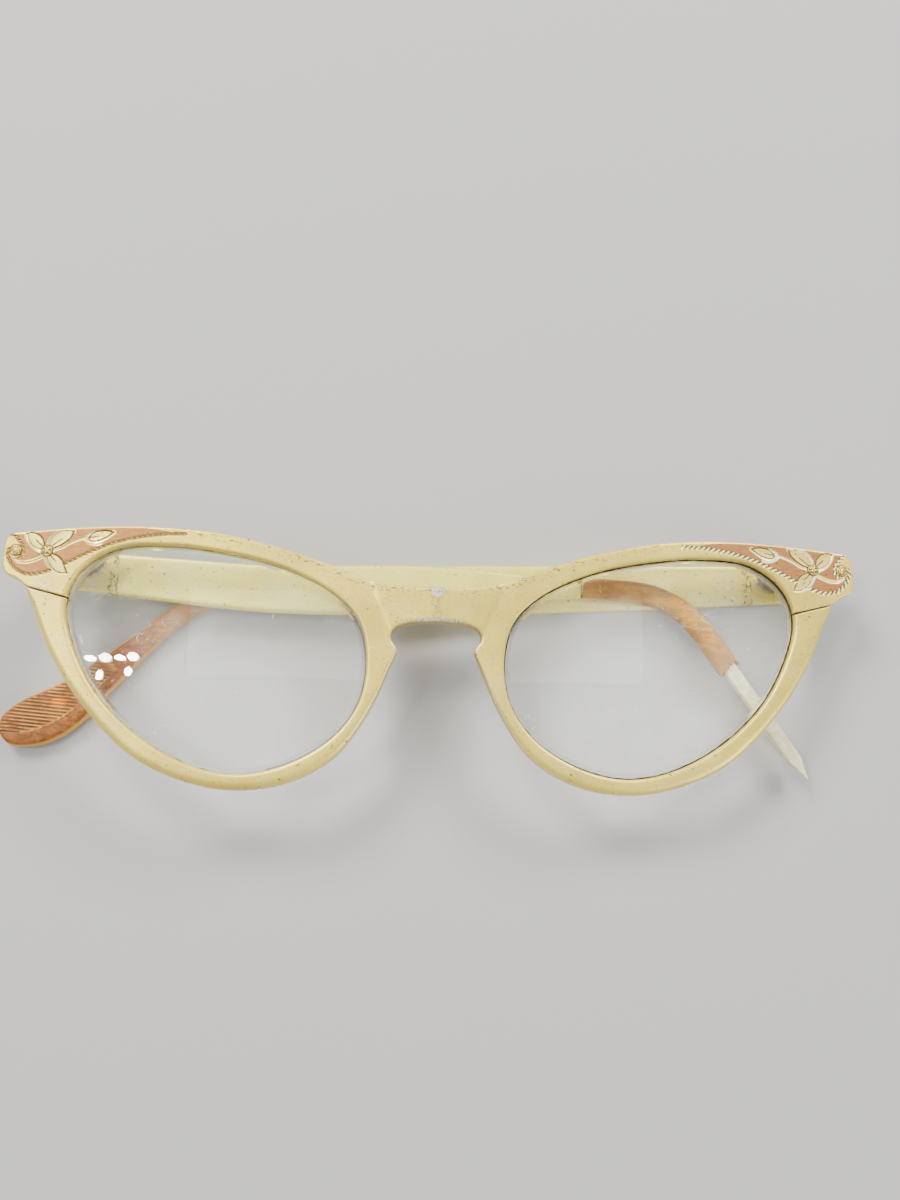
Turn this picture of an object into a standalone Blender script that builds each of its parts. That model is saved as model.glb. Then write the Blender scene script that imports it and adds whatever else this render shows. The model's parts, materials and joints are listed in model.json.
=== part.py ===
"""A cat-eye spectacle frame of anodised aluminium, folded and lying face up on its temples.

Every part of the front is drawn in the front's own frame: +X towards the wearer's left, +Y towards
the brow, +Z out of the lenses, with z = 0 on the crest of the rims. Every part of a temple is drawn
in that temple's frame: s along it from the hinge axis, y towards the brow, t towards the inner side.
Sizes are in millimetres until MM turns them into metres.
"""

import math

import bmesh
import bpy
import numpy as np
from mathutils import Matrix, Vector
from mathutils.geometry import tessellate_polygon

MM = 0.001
SIDES = {"left": 1, "right": -1}
FIT_GAP = 0.06
CURVE_STEP = 3.1

# The pose at rest. The right temple folds first and lies against the front, tipped a little towards
# the lenses. The left temple closes over it, stays short of parallel, and lies flat on the ground.
RIGHT_FOLD_PAST_PARALLEL = 0.9
LEFT_FOLD_SHORT_OF_PARALLEL = 1.5
ORIGIN_SHIFT = (1.34, 10.2)

# Front
FRONT_THICKNESS = 3.0
BROW_EDGE = [
    (0, 1.1), (5, 1.3), (10, 2.1), (16, 4.3), (25, 7.2), (35, 9.3), (45, 10.0), (55, 9.6), (66.2, 8.4),
]
END_EDGE = [(66.2, 8.4), (67.0, 7.4), (67.2, 5.0), (67.1, 2.7), (66.4, 1.6)]
UNDER_END_EDGE = [(66.4, 1.6), (65, 1.15), (64, 0.5), (63.3, -0.2)]
RIM_EDGE = [
    (63.3, -0.2), (61.4, -4.9), (58.4, -11.0), (53.3, -18.1), (45.6, -25.4), (38, -29.0),
    (30, -30.4), (22, -29.2), (15, -25.2), (10, -18.1), (7.2, -11.6), (5.9, -8.6),
]
KEYHOLE_EDGE = [
    (5.9, -8.6), (6.9, -7.5), (7.15, -6.3), (6.4, -5.2), (4.6, -4.6), (2, -4.3), (0, -4.2),
]
APERTURE = [
    (57.1, -3.2), (55.6, 2.2), (50.4, 6.2), (42.5, 7.05), (33.5, 6.2), (24.5, 4.1), (16.4, 0.2),
    (12.1, -4.2), (10.65, -10), (11.6, -16.8), (15.5, -22.4), (22.5, -26.6), (30.0, -28.0),
    (38, -26.2), (46.5, -21.1), (53.1, -13.7),
]
# Each wall of the front is a list of (z, how far the wall is cut back into the metal).
OUTER_WALL = [(-3.0, 0.25), (-2.75, 0.0), (-0.75, 0.0), (-0.25, 0.25), (0.0, 0.75)]
APERTURE_WALL = [
    (-3.0, 0.2), (-2.8, 0.0), (-2.3, 0.0), (-1.8, 0.55), (-1.3, 0.0), (-0.6, 0.0), (-0.2, 0.15),
    (0.0, 0.5),
]
SLIT_INNER = (55.5, -2.05)
SLIT_OUTER = (65.0, 0.3)
SLIT_WIDTH = 0.3

# Lens: the bevel runs in the groove of the aperture wall
LENS_EDGE = [(-2.6, -0.3), (-2.25, -0.1), (-1.8, 0.4), (-1.35, -0.1), (-1.0, -0.3)]
LENS_BULGE = 1.7
LENS_RINGS = (0.72, 0.38)
LENS_CENTRE = (33.5, -9.5)

# Hinge
HINGE_X = 61.0
HINGE_Y = 5.2
HINGE_Z = -6.2
KNUCKLE_RADIUS = 1.3
KNUCKLE_BORE = 0.66
MIDDLE_KNUCKLE = (HINGE_Y - 0.85, HINGE_Y + 0.85)
LOWER_KNUCKLE = (HINGE_Y - 2.45, HINGE_Y - 0.95)
UPPER_KNUCKLE = (HINGE_Y + 0.95, HINGE_Y + 2.45)
FRONT_LEAF = (58.3, 66.1, 2.2, 8.0)
FRONT_LEAF_THICKNESS = 0.8
FRONT_LEAF_CORNER = 0.8
FRONT_SEAT_GAP = 0.1
FRONT_RIVETS = [(60.5, 5.55), (65.2, 5.5)]
RIVET_SHANK = 0.5
RIVET_HEAD = 0.8
TEMPLE_LEAF_START = 1.65
TEMPLE_LEAF_END = 7.3
TEMPLE_LEAF_HALF = 2.1
TEMPLE_LEAF_THICKNESS = 0.7
TEMPLE_RIVETS = (3.1, 5.7)
SCREW_SHAFT = 0.6
SCREW_HEAD = 1.15
SCREW_HEAD_HEIGHT = 0.75
SCREW_SLOT_HALF = 0.15

# Screw that closes the rim on the lens
RIM_SCREW_X = 59.4
RIM_SCREW_Z = -4.1
RIM_LUG = (58.2, 60.6, -3.6, 1.6)
RIM_LUG_DEPTH = 5.3
RIM_LUG_ROOT = 0.6
RIM_SCREW_SHAFT = 0.5
RIM_SCREW_HEAD = 1.0
RIM_SCREW_HEAD_HEIGHT = 0.65
RIM_SCREW_GAP = 0.08

# Nose pads
PAD_LINE = [(8.5, -9.8), (10.9, -17.6)]
PAD_HALF_WIDTH = 0.95
PAD_END = 1.3
# (z, how far the layer leans away from the nose, its share of the full width)
PAD_LAYERS = [
    (-3.08, 0.0, 1.0), (-4.2, 0.1, 1.0), (-5.2, 0.22, 0.92), (-5.8, 0.32, 0.72), (-6.1, 0.36, 0.4),
]
PAD_POINTS = 28
PAD_PIN_RADIUS = 0.35
PAD_PIN_SPAN = (-4.8, -1.7)
PAD_PINS = (0.22, 0.62)

# Temples: (s, y of the middle, half height)
TEMPLE_INNER = -1.7
TEMPLE_OUTER = -3.6
BAND = {
    "right": [
        (-2.75, 4.7, 3.1), (7.5, 3.9, 3.35), (19, 2.95, 3.65), (33, 2.0, 3.9), (47, 2.1, 4.2),
        (57, 2.3, 4.2), (68, 2.7, 3.3), (77, 3.0, 2.2), (85, 3.1, 1.7),
    ],
    "left": [
        (-2.75, 4.9, 3.1), (7.5, 4.6, 3.35), (19, 4.1, 3.65), (33, 3.6, 3.9), (47, 3.2, 4.2),
        (57, 3.0, 4.2), (68, 3.0, 3.3), (77, 3.0, 2.2), (85, 2.8, 1.7),
    ],
}
BAND_CORNER = 0.5
BAND_STEP = 7.0
CORE_HALF_WIDTH = 1.1
CORE_SPAN = (-3.15, -1.45)
CORE_CORNER = 0.85
CORE_STEP = 2.6
SLEEVE_SPAN = (-3.6, -1.0)
SLEEVE_GAP = 0.1
SLEEVE_CORNER = 1.25
SLEEVE_BORE_CORNER = 0.95
# Bare core of each temple, past the band
CORE = {
    "right": [
        (85, 3.1), (91, 2.8), (95.6, 2.3), (99.1, 1.1), (101.6, -0.4), (103.8, -2.4), (106, -5.2),
        (109, -9.7), (121.4, -27.4),
    ],
    "left": [(85, 2.8), (92, 2.3), (97.5, 1.1), (101.2, -0.6), (105, -3.6), (109.4, -7.6), (119, -16.6)],
}
CORE_POINT_LENGTH = 4.0
# Plastic end cover of each temple: (s, y of the middle, half width)
COVER = {
    "right": [
        (85.3, 3.1, 1.7), (91, 2.8, 1.75), (95.6, 2.3, 1.8), (99.1, 1.1, 1.8), (101.6, -0.4, 1.8),
        (103.8, -2.4, 1.85), (106, -5.2, 1.9), (109, -9.7, 1.9),
    ],
    "left": [
        (85.3, 2.8, 1.7), (92, 2.3, 1.75), (97.5, 1.1, 1.8), (101.2, -0.6, 1.8), (105, -3.6, 1.8),
        (109.4, -7.6, 2.0), (116, -13.6, 2.9), (120, -16.9, 3.6), (122.8, -18.7, 4.0),
        (125.6, -20.0, 3.8), (128.4, -20.9, 2.8), (130.0, -21.3, 1.5), (130.6, -21.4, 0.5),
    ],
}


def clear_scene():
    for obj in list(bpy.data.objects):
        bpy.data.objects.remove(obj, do_unlink=True)


def material(name, colour, roughness, metallic, alpha=1.0):
    made = bpy.data.materials.new(name)
    made.use_nodes = True
    shader = made.node_tree.nodes["Principled BSDF"]
    shader.inputs["Base Color"].default_value = (*colour, 1.0)
    shader.inputs["Roughness"].default_value = roughness
    shader.inputs["Metallic"].default_value = metallic
    shader.inputs["Alpha"].default_value = alpha
    return made


def empty(name, parent, place, turn_y):
    """An axis or a plane that parts hang on. place is in millimetres, turn_y in degrees about Y."""
    made = bpy.data.objects.new(name, None)
    bpy.context.scene.collection.objects.link(made)
    made.parent = parent
    made.location = Vector(place) * MM
    made.rotation_euler = (0, math.radians(turn_y), 0)
    return made


def mesh_object(name, bm, finish, parent, flip=1, sharp_angle=35):
    """An object from a mesh drawn in millimetres. flip = -1 mirrors it left to right."""
    bmesh.ops.transform(bm, matrix=Matrix.Diagonal((flip * MM, MM, MM, 1)), verts=bm.verts)
    bmesh.ops.recalc_face_normals(bm, faces=bm.faces)
    mesh = bpy.data.meshes.new(name)
    bm.to_mesh(mesh)
    bm.free()
    mesh.shade_smooth()
    mesh.set_sharp_from_angle(angle=math.radians(sharp_angle))
    made = bpy.data.objects.new(name, mesh)
    bpy.context.scene.collection.objects.link(made)
    made.parent = parent
    if finish:
        mesh.materials.append(finish)
    return made


def combine(target, operation, shape, side):
    """One more shape joined to the target or cut out of it, on one side."""
    number = len(target.modifiers)
    helper = mesh_object(f"{target.name}.helper.{number}", shape, None, target.parent, side)
    helper.hide_render = True
    helper.display_type = "WIRE"
    step = target.modifiers.new(helper.name, "BOOLEAN")
    step.operation = operation
    step.object = helper


def curve_through(points, step, closed=False):
    """Points about step apart along the centripetal Catmull-Rom curve through the given points."""
    knots = np.asarray(points, float)
    if closed:
        padded = np.vstack([knots[-1:], knots, knots[:2]])
    else:
        padded = np.vstack([2 * knots[:1] - knots[1:2], knots, 2 * knots[-1:] - knots[-2:-1]])
    out = []
    for a, b, c, d in zip(padded, padded[1:], padded[2:], padded[3:]):
        ta = 0.0
        tb = ta + math.dist(a[:2], b[:2]) ** 0.5
        tc = tb + math.dist(b[:2], c[:2]) ** 0.5
        td = tc + math.dist(c[:2], d[:2]) ** 0.5
        count = max(1, round(math.dist(b[:2], c[:2]) / step))
        for t in np.linspace(tb, tc, count, endpoint=False):
            ab = a + (b - a) * (t - ta) / (tb - ta)
            bc = b + (c - b) * (t - tb) / (tc - tb)
            cd = c + (d - c) * (t - tc) / (td - tc)
            abc = ab + (bc - ab) * (t - ta) / (tc - ta)
            bcd = bc + (cd - bc) * (t - tb) / (td - tb)
            out.append(abc + (bcd - abc) * (t - tb) / (tc - tb))
    if not closed:
        out.append(knots[-1])
    return np.array(out)


def offset_loop(loop, distance):
    """An anticlockwise closed loop moved outwards by distance, with its corners mitred."""
    ahead = np.roll(loop, -1, axis=0) - loop
    ahead /= np.linalg.norm(ahead, axis=1, keepdims=True)
    behind = np.roll(ahead, 1, axis=0)
    normal = np.column_stack([ahead[:, 1] + behind[:, 1], -ahead[:, 0] - behind[:, 0]])
    normal /= np.linalg.norm(normal, axis=1, keepdims=True)
    cosine = np.sum(normal * np.column_stack([ahead[:, 1], -ahead[:, 0]]), axis=1)
    return loop + normal * (distance / np.clip(cosine, 0.6, 1))[:, None]


def add_ring(bm, loop, z):
    return [bm.verts.new((x, y, z)) for x, y in loop]


def join_rings(bm, first, second):
    """Quads between two closed rings of the same length."""
    for k in range(len(first)):
        nxt = (k + 1) % len(first)
        bm.faces.new((first[k], first[nxt], second[nxt], second[k]))


def cap(bm, rings):
    """A flat face inside the first ring, with the other rings as its holes."""
    flat = [v for ring in rings for v in ring]
    for corners in tessellate_polygon([[v.co for v in ring] for ring in rings]):
        bm.faces.new([flat[k] for k in corners])


def stack(layers):
    """A solid from closed rings, each (loop, z), one above the other."""
    bm = bmesh.new()
    rings = [add_ring(bm, loop, z) for loop, z in layers]
    for first, second in zip(rings, rings[1:]):
        join_rings(bm, first, second)
    cap(bm, rings[:1])
    cap(bm, rings[-1:])
    return bm


def box(x0, x1, y0, y1, z0, z1):
    bm = bmesh.new()
    middle = Vector((x0 + x1, y0 + y1, z0 + z1)) / 2
    size = Matrix.Diagonal((x1 - x0, y1 - y0, z1 - z0, 1))
    bmesh.ops.create_cube(bm, size=1, matrix=Matrix.Translation(middle) @ size)
    return bm


def turned(profile, base, axis, segments=12):
    """A round solid. Each profile point is (radius, height along the axis from the base)."""
    bm = bmesh.new()
    place = Matrix.Translation(base) @ Vector(axis).to_track_quat("Z", "Y").to_matrix().to_4x4()
    rings = []
    for radius, height in profile:
        turn = [2 * math.pi * k / segments for k in range(segments)]
        rings.append([bm.verts.new((radius * math.cos(a), radius * math.sin(a), height)) for a in turn])
    for first, second in zip(rings, rings[1:]):
        join_rings(bm, first, second)
    bm.faces.new(rings[0])
    bm.faces.new(rings[-1])
    bmesh.ops.transform(bm, matrix=place, verts=bm.verts)
    return bm


def rod(radius, start, end, segments=12):
    """A plain round bar or bore between two points."""
    run = Vector(end) - Vector(start)
    return turned([(radius, 0), (radius, run.length)], start, run, segments)


def rounded_rectangle(x0, x1, y0, y1, radius, per_corner=4):
    corners = [(x1 - radius, y0 + radius, -90), (x1 - radius, y1 - radius, 0)]
    corners += [(x0 + radius, y1 - radius, 90), (x0 + radius, y0 + radius, 180)]
    loop = []
    for cx, cy, start in corners:
        for k in range(per_corner + 1):
            angle = math.radians(start + 90 * k / per_corner)
            loop.append((cx + radius * math.cos(angle), cy + radius * math.sin(angle)))
    return loop


def front_outline():
    """The closed outline of the front, anticlockwise, from its right half mirrored."""
    half = []
    for run in (BROW_EDGE, END_EDGE, UNDER_END_EDGE, RIM_EDGE, KEYHOLE_EDGE):
        step = 1.4 if run in (END_EDGE, UNDER_END_EDGE, KEYHOLE_EDGE) else CURVE_STEP
        half.extend(curve_through(run, step)[:-1])
    half.append(np.array(KEYHOLE_EDGE[-1], float))
    other = [point * (-1, 1) for point in half[-2:0:-1]]
    return np.array(half + other)[::-1]


def front_mesh():
    """The plate of the front, with domed rims and a grooved opening for each lens."""
    bm = bmesh.new()
    outline = front_outline()
    aperture = curve_through(APERTURE, CURVE_STEP, closed=True)
    outer = [add_ring(bm, offset_loop(outline, -cut), z) for z, cut in OUTER_WALL]
    walls = [outer]
    for side in SIDES.values():
        loop = aperture if side > 0 else (aperture * (-1, 1))[::-1]
        walls.append([add_ring(bm, offset_loop(loop, cut), z) for z, cut in APERTURE_WALL])
    for wall in walls:
        for first, second in zip(wall, wall[1:]):
            join_rings(bm, first, second)
    cap(bm, [wall[0] for wall in walls])
    cap(bm, [wall[-1] for wall in walls])
    return bm


def pad_point(along):
    """The middle of the nose pad at a share of its length."""
    start, end = (Vector(point) for point in PAD_LINE)
    return start.lerp(end, along)


def build_front(finish, plane):
    front = mesh_object("front_frame", front_mesh(), finish, plane)
    lugs, cuts = [], []
    for side in SIDES.values():
        x0, x1, y0, y1 = RIM_LUG
        lugs.append((box(x0, x1, y0, y1, -RIM_LUG_DEPTH, -FRONT_THICKNESS + RIM_LUG_ROOT), side))
        across = Vector(SLIT_OUTER) - Vector(SLIT_INNER)
        slit = box(0, across.length, -SLIT_WIDTH / 2, SLIT_WIDTH / 2, -RIM_LUG_DEPTH - 1, 1)
        turn = Matrix.Rotation(math.atan2(across.y, across.x), 4, "Z")
        place = Matrix.Translation((*SLIT_INNER, 0)) @ turn
        bmesh.ops.transform(slit, matrix=place, verts=slit.verts)
        cuts.append((slit, side))
        start = (RIM_SCREW_X, y0 - 1, RIM_SCREW_Z)
        bore = rod(RIM_SCREW_SHAFT + FIT_GAP, start, (RIM_SCREW_X, y1 + 1, RIM_SCREW_Z))
        cuts.append((bore, side))
        x0, x1, y0, y1 = FRONT_LEAF
        gap = FRONT_SEAT_GAP
        seat = rounded_rectangle(x0 - gap, x1 + gap, y0 - gap, y1 + gap, FRONT_LEAF_CORNER + gap)
        floor = -FRONT_THICKNESS + FRONT_LEAF_THICKNESS + FIT_GAP
        cuts.append((stack([(seat, -FRONT_THICKNESS - 1), (seat, floor)]), side))
        for x, y in FRONT_RIVETS:
            cuts.append((rod(RIVET_SHANK + FIT_GAP, (x, y, -FRONT_THICKNESS - 1), (x, y, 1)), side))
        for along in PAD_PINS:
            x, y = pad_point(along)
            top = PAD_PIN_SPAN[1] + 0.1
            hole = rod(PAD_PIN_RADIUS + FIT_GAP, (x, y, -FRONT_THICKNESS - 1), (x, y, top))
            cuts.append((hole, side))
    for shape, side in lugs:
        combine(front, "UNION", shape, side)
    for shape, side in cuts:
        combine(front, "DIFFERENCE", shape, side)
    return front


def lens_mesh():
    """A meniscus lens: the bevelled edge, then rings that rise to the middle on both faces."""
    bm = bmesh.new()
    aperture = curve_through(APERTURE, CURVE_STEP, closed=True)
    middle = np.array(LENS_CENTRE)
    edge = [add_ring(bm, offset_loop(aperture, out), z) for z, out in LENS_EDGE]
    for first, second in zip(edge, edge[1:]):
        join_rings(bm, first, second)
    for rim, (z, out) in ((edge[0], LENS_EDGE[0]), (edge[-1], LENS_EDGE[-1])):
        last = rim
        loop = offset_loop(aperture, out)
        for share in LENS_RINGS:
            ring = add_ring(bm, middle + (loop - middle) * share, z + LENS_BULGE * (1 - share**2))
            join_rings(bm, last, ring)
            last = ring
        top = bm.verts.new((*middle, z + LENS_BULGE))
        for k in range(len(last)):
            bm.faces.new((last[k], last[(k + 1) % len(last)], top))
    return bm


def arc(radius, start, end, count):
    """Points on a circle round the hinge axis, from one angle to another, in degrees."""
    turn = np.radians(np.linspace(start, end, count + 1))
    return [(radius * math.cos(a), radius * math.sin(a)) for a in turn]


def extruded(profile, span, offset=(0, 0, 0)):
    """A solid of one (x, z) profile, drawn out along Y over the span, then moved by offset."""
    bm = bmesh.new()
    ends = []
    for y in span:
        ends.append([bm.verts.new(Vector((x, y, z)) + Vector(offset)) for x, z in profile])
    join_rings(bm, *ends)
    bm.faces.new(ends[0])
    bm.faces.new(ends[1])
    return bm


def build_front_hinge(name, finish, plane, side):
    """The hinge half on the front: a leaf let into the back of the end piece, and two knuckles."""
    x0, x1, y0, y1 = FRONT_LEAF
    leaf_loop = rounded_rectangle(x0, x1, y0, y1, FRONT_LEAF_CORNER)
    leaf = stack([(leaf_loop, -FRONT_THICKNESS), (leaf_loop, -FRONT_THICKNESS + FRONT_LEAF_THICKNESS)])
    hinge = mesh_object(name, leaf, finish, plane, side)
    top = -FRONT_THICKNESS + 0.4 - HINGE_Z
    profile = arc(KNUCKLE_RADIUS, 180, 360, 10) + [(KNUCKLE_RADIUS, top), (-KNUCKLE_RADIUS, top)]
    for span in (LOWER_KNUCKLE, UPPER_KNUCKLE):
        combine(hinge, "UNION", extruded(profile, span, (HINGE_X, 0, HINGE_Z)), side)
    bore = rod(KNUCKLE_BORE, (HINGE_X, y0 - 1, HINGE_Z), (HINGE_X, y1 + 1, HINGE_Z))
    combine(hinge, "DIFFERENCE", bore, side)
    for x, y in FRONT_RIVETS:
        hole = rod(RIVET_SHANK + FIT_GAP, (x, y, -FRONT_THICKNESS - 1), (x, y, 0))
        combine(hinge, "DIFFERENCE", hole, side)


def build_temple_hinge(name, finish, axis, flip):
    """The hinge half on the temple: a leaf with a round end, and the middle knuckle."""
    low = TEMPLE_INNER + FIT_GAP
    high = low + TEMPLE_LEAF_THICKNESS
    half = TEMPLE_LEAF_HALF
    loop = [(TEMPLE_LEAF_START, HINGE_Y - half)]
    for k in range(13):
        angle = math.radians(-90 + 15 * k)
        loop.append((TEMPLE_LEAF_END - half + half * math.cos(angle), HINGE_Y + half * math.sin(angle)))
    loop.append((TEMPLE_LEAF_START, HINGE_Y + half))
    hinge = mesh_object(name, stack([(loop, low), (loop, high)]), finish, axis, flip)
    # The web stays a little inside the leaf's two faces, where the two are joined.
    top, bottom = high - 0.03, low + 0.03
    web_end = TEMPLE_LEAF_START + 0.6
    start = math.degrees(math.asin(top / KNUCKLE_RADIUS))
    round_part = arc(KNUCKLE_RADIUS, start, 250, 16)
    profile = [(web_end, bottom), (web_end, top), *round_part, (round_part[-1][0], bottom)]
    combine(hinge, "UNION", extruded(profile, MIDDLE_KNUCKLE), flip)
    y0, y1 = MIDDLE_KNUCKLE
    combine(hinge, "DIFFERENCE", rod(KNUCKLE_BORE, (0, y0 - 1, 0), (0, y1 + 1, 0)), flip)
    for s in TEMPLE_RIVETS:
        hole = rod(RIVET_SHANK + FIT_GAP, (s, HINGE_Y, TEMPLE_OUTER), (s, HINGE_Y, 1))
        combine(hinge, "DIFFERENCE", hole, flip)


def build_screw(name, finish, parent, flip, place, axis, shaft, head, length, head_height):
    """A slotted screw whose head sits at place and whose shaft runs the other way from axis."""
    profile = [(shaft, -length), (shaft, 0.0), (head, 0.0), (head, head_height * 0.6)]
    profile.append((head * 0.75, head_height))
    screw = mesh_object(name, turned(profile, place, axis), finish, parent, flip)
    half = SCREW_SLOT_HALF
    slot = box(-head - 1, head + 1, -half, half, head_height * 0.55, head_height + 1)
    turn = Vector(axis).to_track_quat("Z", "Y").to_matrix().to_4x4()
    bmesh.ops.transform(slot, matrix=Matrix.Translation(place) @ turn, verts=slot.verts)
    combine(screw, "DIFFERENCE", slot, flip)


def section(low, high, half_width, corner):
    """A rounded section as (across, t) pairs, twelve points round."""
    corner = min(corner, half_width * 0.98, (high - low) * 0.49)
    return rounded_rectangle(-half_width, half_width, low, high, corner, 2)


def loft(stations, span, corner, end_shift=None):
    """A solid along stations (s, y, half width), each section square to the path."""
    low, high = span
    path = np.asarray(stations, float)
    run = np.gradient(path[:, :2], axis=0)
    run /= np.linalg.norm(run, axis=1, keepdims=True)
    bm = bmesh.new()
    rings = []
    for k, (s, y, half_width) in enumerate(path):
        thin = min(1.0, half_width / (0.5 * (high - low))) if half_width < 1 else 1.0
        mid = (low + high) / 2
        ring = []
        for n, (across, t) in enumerate(section(low, high, half_width, corner)):
            push = end_shift(n) if end_shift and k == len(path) - 1 else 0.0
            x = s - run[k, 1] * across + run[k, 0] * push
            height = y + run[k, 0] * across + run[k, 1] * push
            ring.append(bm.verts.new((x, height, mid + (t - mid) * thin)))
        rings.append(ring)
    for first, second in zip(rings, rings[1:]):
        join_rings(bm, first, second)
    cap_fan(bm, rings[0])
    cap_fan(bm, rings[-1])
    return bm


def cap_fan(bm, ring):
    """Closes a ring with triangles that meet at its middle."""
    middle = sum((v.co for v in ring), Vector()) / len(ring)
    top = bm.verts.new(middle)
    for k in range(len(ring)):
        bm.faces.new((ring[k], ring[(k + 1) % len(ring)], top))


def core_stations(side, wider=0.0):
    """The core's stations, from inside the band to its end. wider opens it out into the cover's bore."""
    line = curve_through(CORE[side], CORE_STEP)
    half = np.full(len(line), CORE_HALF_WIDTH + wider)
    return np.column_stack([line, half])


def build_temple(name, side, finish, axis, flip):
    """The flat band and the round core that it runs out into, in one piece."""
    band = loft(curve_through(BAND[side], BAND_STEP), (TEMPLE_OUTER, TEMPLE_INNER), BAND_CORNER)
    temple = mesh_object(name, band, finish, axis, flip)
    core = core_stations(side)
    root = np.array([[core[0, 0] - 1.5, core[0, 1], CORE_HALF_WIDTH]])
    if side == "right":
        run = core[-1, :2] - core[-2, :2]
        run /= np.linalg.norm(run)
        tip_start = core[-1, :2] - run * CORE_POINT_LENGTH
        core = core[np.linalg.norm(core[:, :2] - core[-1, :2], axis=1) > CORE_POINT_LENGTH + 0.4]
        point = tip_start + run * CORE_POINT_LENGTH
        core = np.vstack([core, [*tip_start, CORE_HALF_WIDTH], [*point, 0.2]])
    core = loft(np.vstack([root, core]), CORE_SPAN, CORE_CORNER)
    combine(temple, "UNION", core, flip)
    for s in TEMPLE_RIVETS:
        hole = rod(RIVET_SHANK + FIT_GAP, (s, HINGE_Y, TEMPLE_OUTER - 1), (s, HINGE_Y, TEMPLE_INNER + 1))
        combine(temple, "DIFFERENCE", hole, flip)


def broken_edge(n):
    """How far the broken end of the cover stands out at each point round its section."""
    return 0.55 * math.sin(1.3 * n) + 0.3 * math.sin(3.1 * n + 1)


def build_cover(name, side, finish, axis, flip):
    """The plastic end cover, bored to slide over the core."""
    line = curve_through(COVER[side], CORE_STEP)
    ragged = broken_edge if side == "right" else None
    shape = loft(line, SLEEVE_SPAN, SLEEVE_CORNER, ragged)
    cover = mesh_object(name, shape, finish, axis, flip)
    low, high = CORE_SPAN
    bore = core_stations(side, SLEEVE_GAP)
    run = bore[0, :2] - bore[1, :2]
    start = bore[0, :2] + 3 * run / np.linalg.norm(run)
    bore = np.vstack([[*start, CORE_HALF_WIDTH + SLEEVE_GAP], bore])
    if side == "left":
        end = bore[-1] + (bore[-1] - bore[-2]) * 0.3
        bore = np.vstack([bore, [*end[:2], CORE_HALF_WIDTH + SLEEVE_GAP]])
    bore = loft(bore, (low - SLEEVE_GAP, high + SLEEVE_GAP), SLEEVE_BORE_CORNER)
    combine(cover, "DIFFERENCE", bore, flip)


def build_pad(name, finish, plane, side):
    """A clear pad on the back of the rim, leaning away from the nose as it goes back."""
    start, end = (Vector(point) for point in PAD_LINE)
    along = (end - start).normalized()
    across = Vector((-along.y, along.x))
    half_length = (end - start).length / 2 + PAD_END
    middle = start.lerp(end, 0.5)
    layers = []
    for z, lean, size in PAD_LAYERS:
        loop = []
        for k in range(PAD_POINTS):
            turn = 2 * math.pi * k / PAD_POINTS
            reach = half_length - (1 - size) * 2.0
            side_reach = math.copysign(abs(math.sin(turn)) ** 0.8, math.sin(turn))
            point = middle + along * reach * math.cos(turn)
            point += across * PAD_HALF_WIDTH * size * side_reach
            loop.append((point.x + lean, point.y))
        layers.append((loop, z))
    pad = mesh_object(name, stack(layers[::-1]), finish, plane, side)
    for share in PAD_PINS:
        x, y = pad_point(share)
        low = PAD_PIN_SPAN[0] - 0.1
        hole = rod(PAD_PIN_RADIUS + FIT_GAP, (x, y, low), (x, y, -2.5))
        combine(pad, "DIFFERENCE", hole, side)


def build_side(side, finishes, plane, axis):
    """Every part that comes once on each side."""
    sign = SIDES[side]
    mesh_object(f"lens_{side}", lens_mesh(), finishes["lens"], plane, sign)
    build_front_hinge(f"front_hinge_{side}", finishes["steel"], plane, sign)
    for number, (x, y) in enumerate(FRONT_RIVETS, 1):
        tail = -FRONT_THICKNESS + 0.02
        profile = [(RIVET_SHANK, tail), (RIVET_SHANK, 0.06), (RIVET_HEAD, 0.06), (0.7, 0.24), (0.42, 0.38)]
        shape = turned(profile, (x, y, 0), (0, 0, 1))
        mesh_object(f"front_hinge_rivet_{side}_{number}", shape, finishes["aluminium"], plane, sign)
    head_y = UPPER_KNUCKLE[1] + 0.1
    length = head_y - LOWER_KNUCKLE[0]
    build_screw(
        f"hinge_screw_{side}", finishes["steel"], plane, sign, (HINGE_X, head_y, HINGE_Z),
        (0, 1, 0), SCREW_SHAFT, SCREW_HEAD, length, SCREW_HEAD_HEIGHT,
    )
    foot = RIM_LUG[2] - RIM_SCREW_GAP
    build_screw(
        f"rim_screw_{side}", finishes["steel"], plane, sign, (RIM_SCREW_X, foot, RIM_SCREW_Z),
        (0, -1, 0), RIM_SCREW_SHAFT, RIM_SCREW_HEAD, RIM_LUG[3] - foot, RIM_SCREW_HEAD_HEIGHT,
    )
    build_pad(f"nose_pad_{side}", finishes["pad"], plane, sign)
    for number, share in enumerate(PAD_PINS, 1):
        x, y = pad_point(share)
        low, high = PAD_PIN_SPAN
        pin = rod(PAD_PIN_RADIUS, (x, y, low), (x, y, high))
        mesh_object(f"nose_pad_pin_{side}_{number}", pin, finishes["steel"], plane, sign)
    flip = -sign
    build_temple(f"temple_{side}", side, finishes["aluminium"], axis, flip)
    build_temple_hinge(f"temple_hinge_{side}", finishes["steel"], axis, flip)
    leaf_top = TEMPLE_INNER + FIT_GAP + TEMPLE_LEAF_THICKNESS
    for number, s in enumerate(TEMPLE_RIVETS, 1):
        low = TEMPLE_OUTER + 0.05
        profile = [(RIVET_SHANK, low), (RIVET_SHANK, leaf_top + 0.05), (0.85, leaf_top + 0.05)]
        profile += [(0.7, leaf_top + 0.22), (0.35, leaf_top + 0.32)]
        shape = turned(profile, (s, HINGE_Y, 0), (0, 0, 1))
        mesh_object(f"temple_hinge_rivet_{side}_{number}", shape, finishes["steel"], axis, flip)
    build_cover(f"temple_tip_{side}", side, finishes["plastic"], axis, flip)


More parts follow.
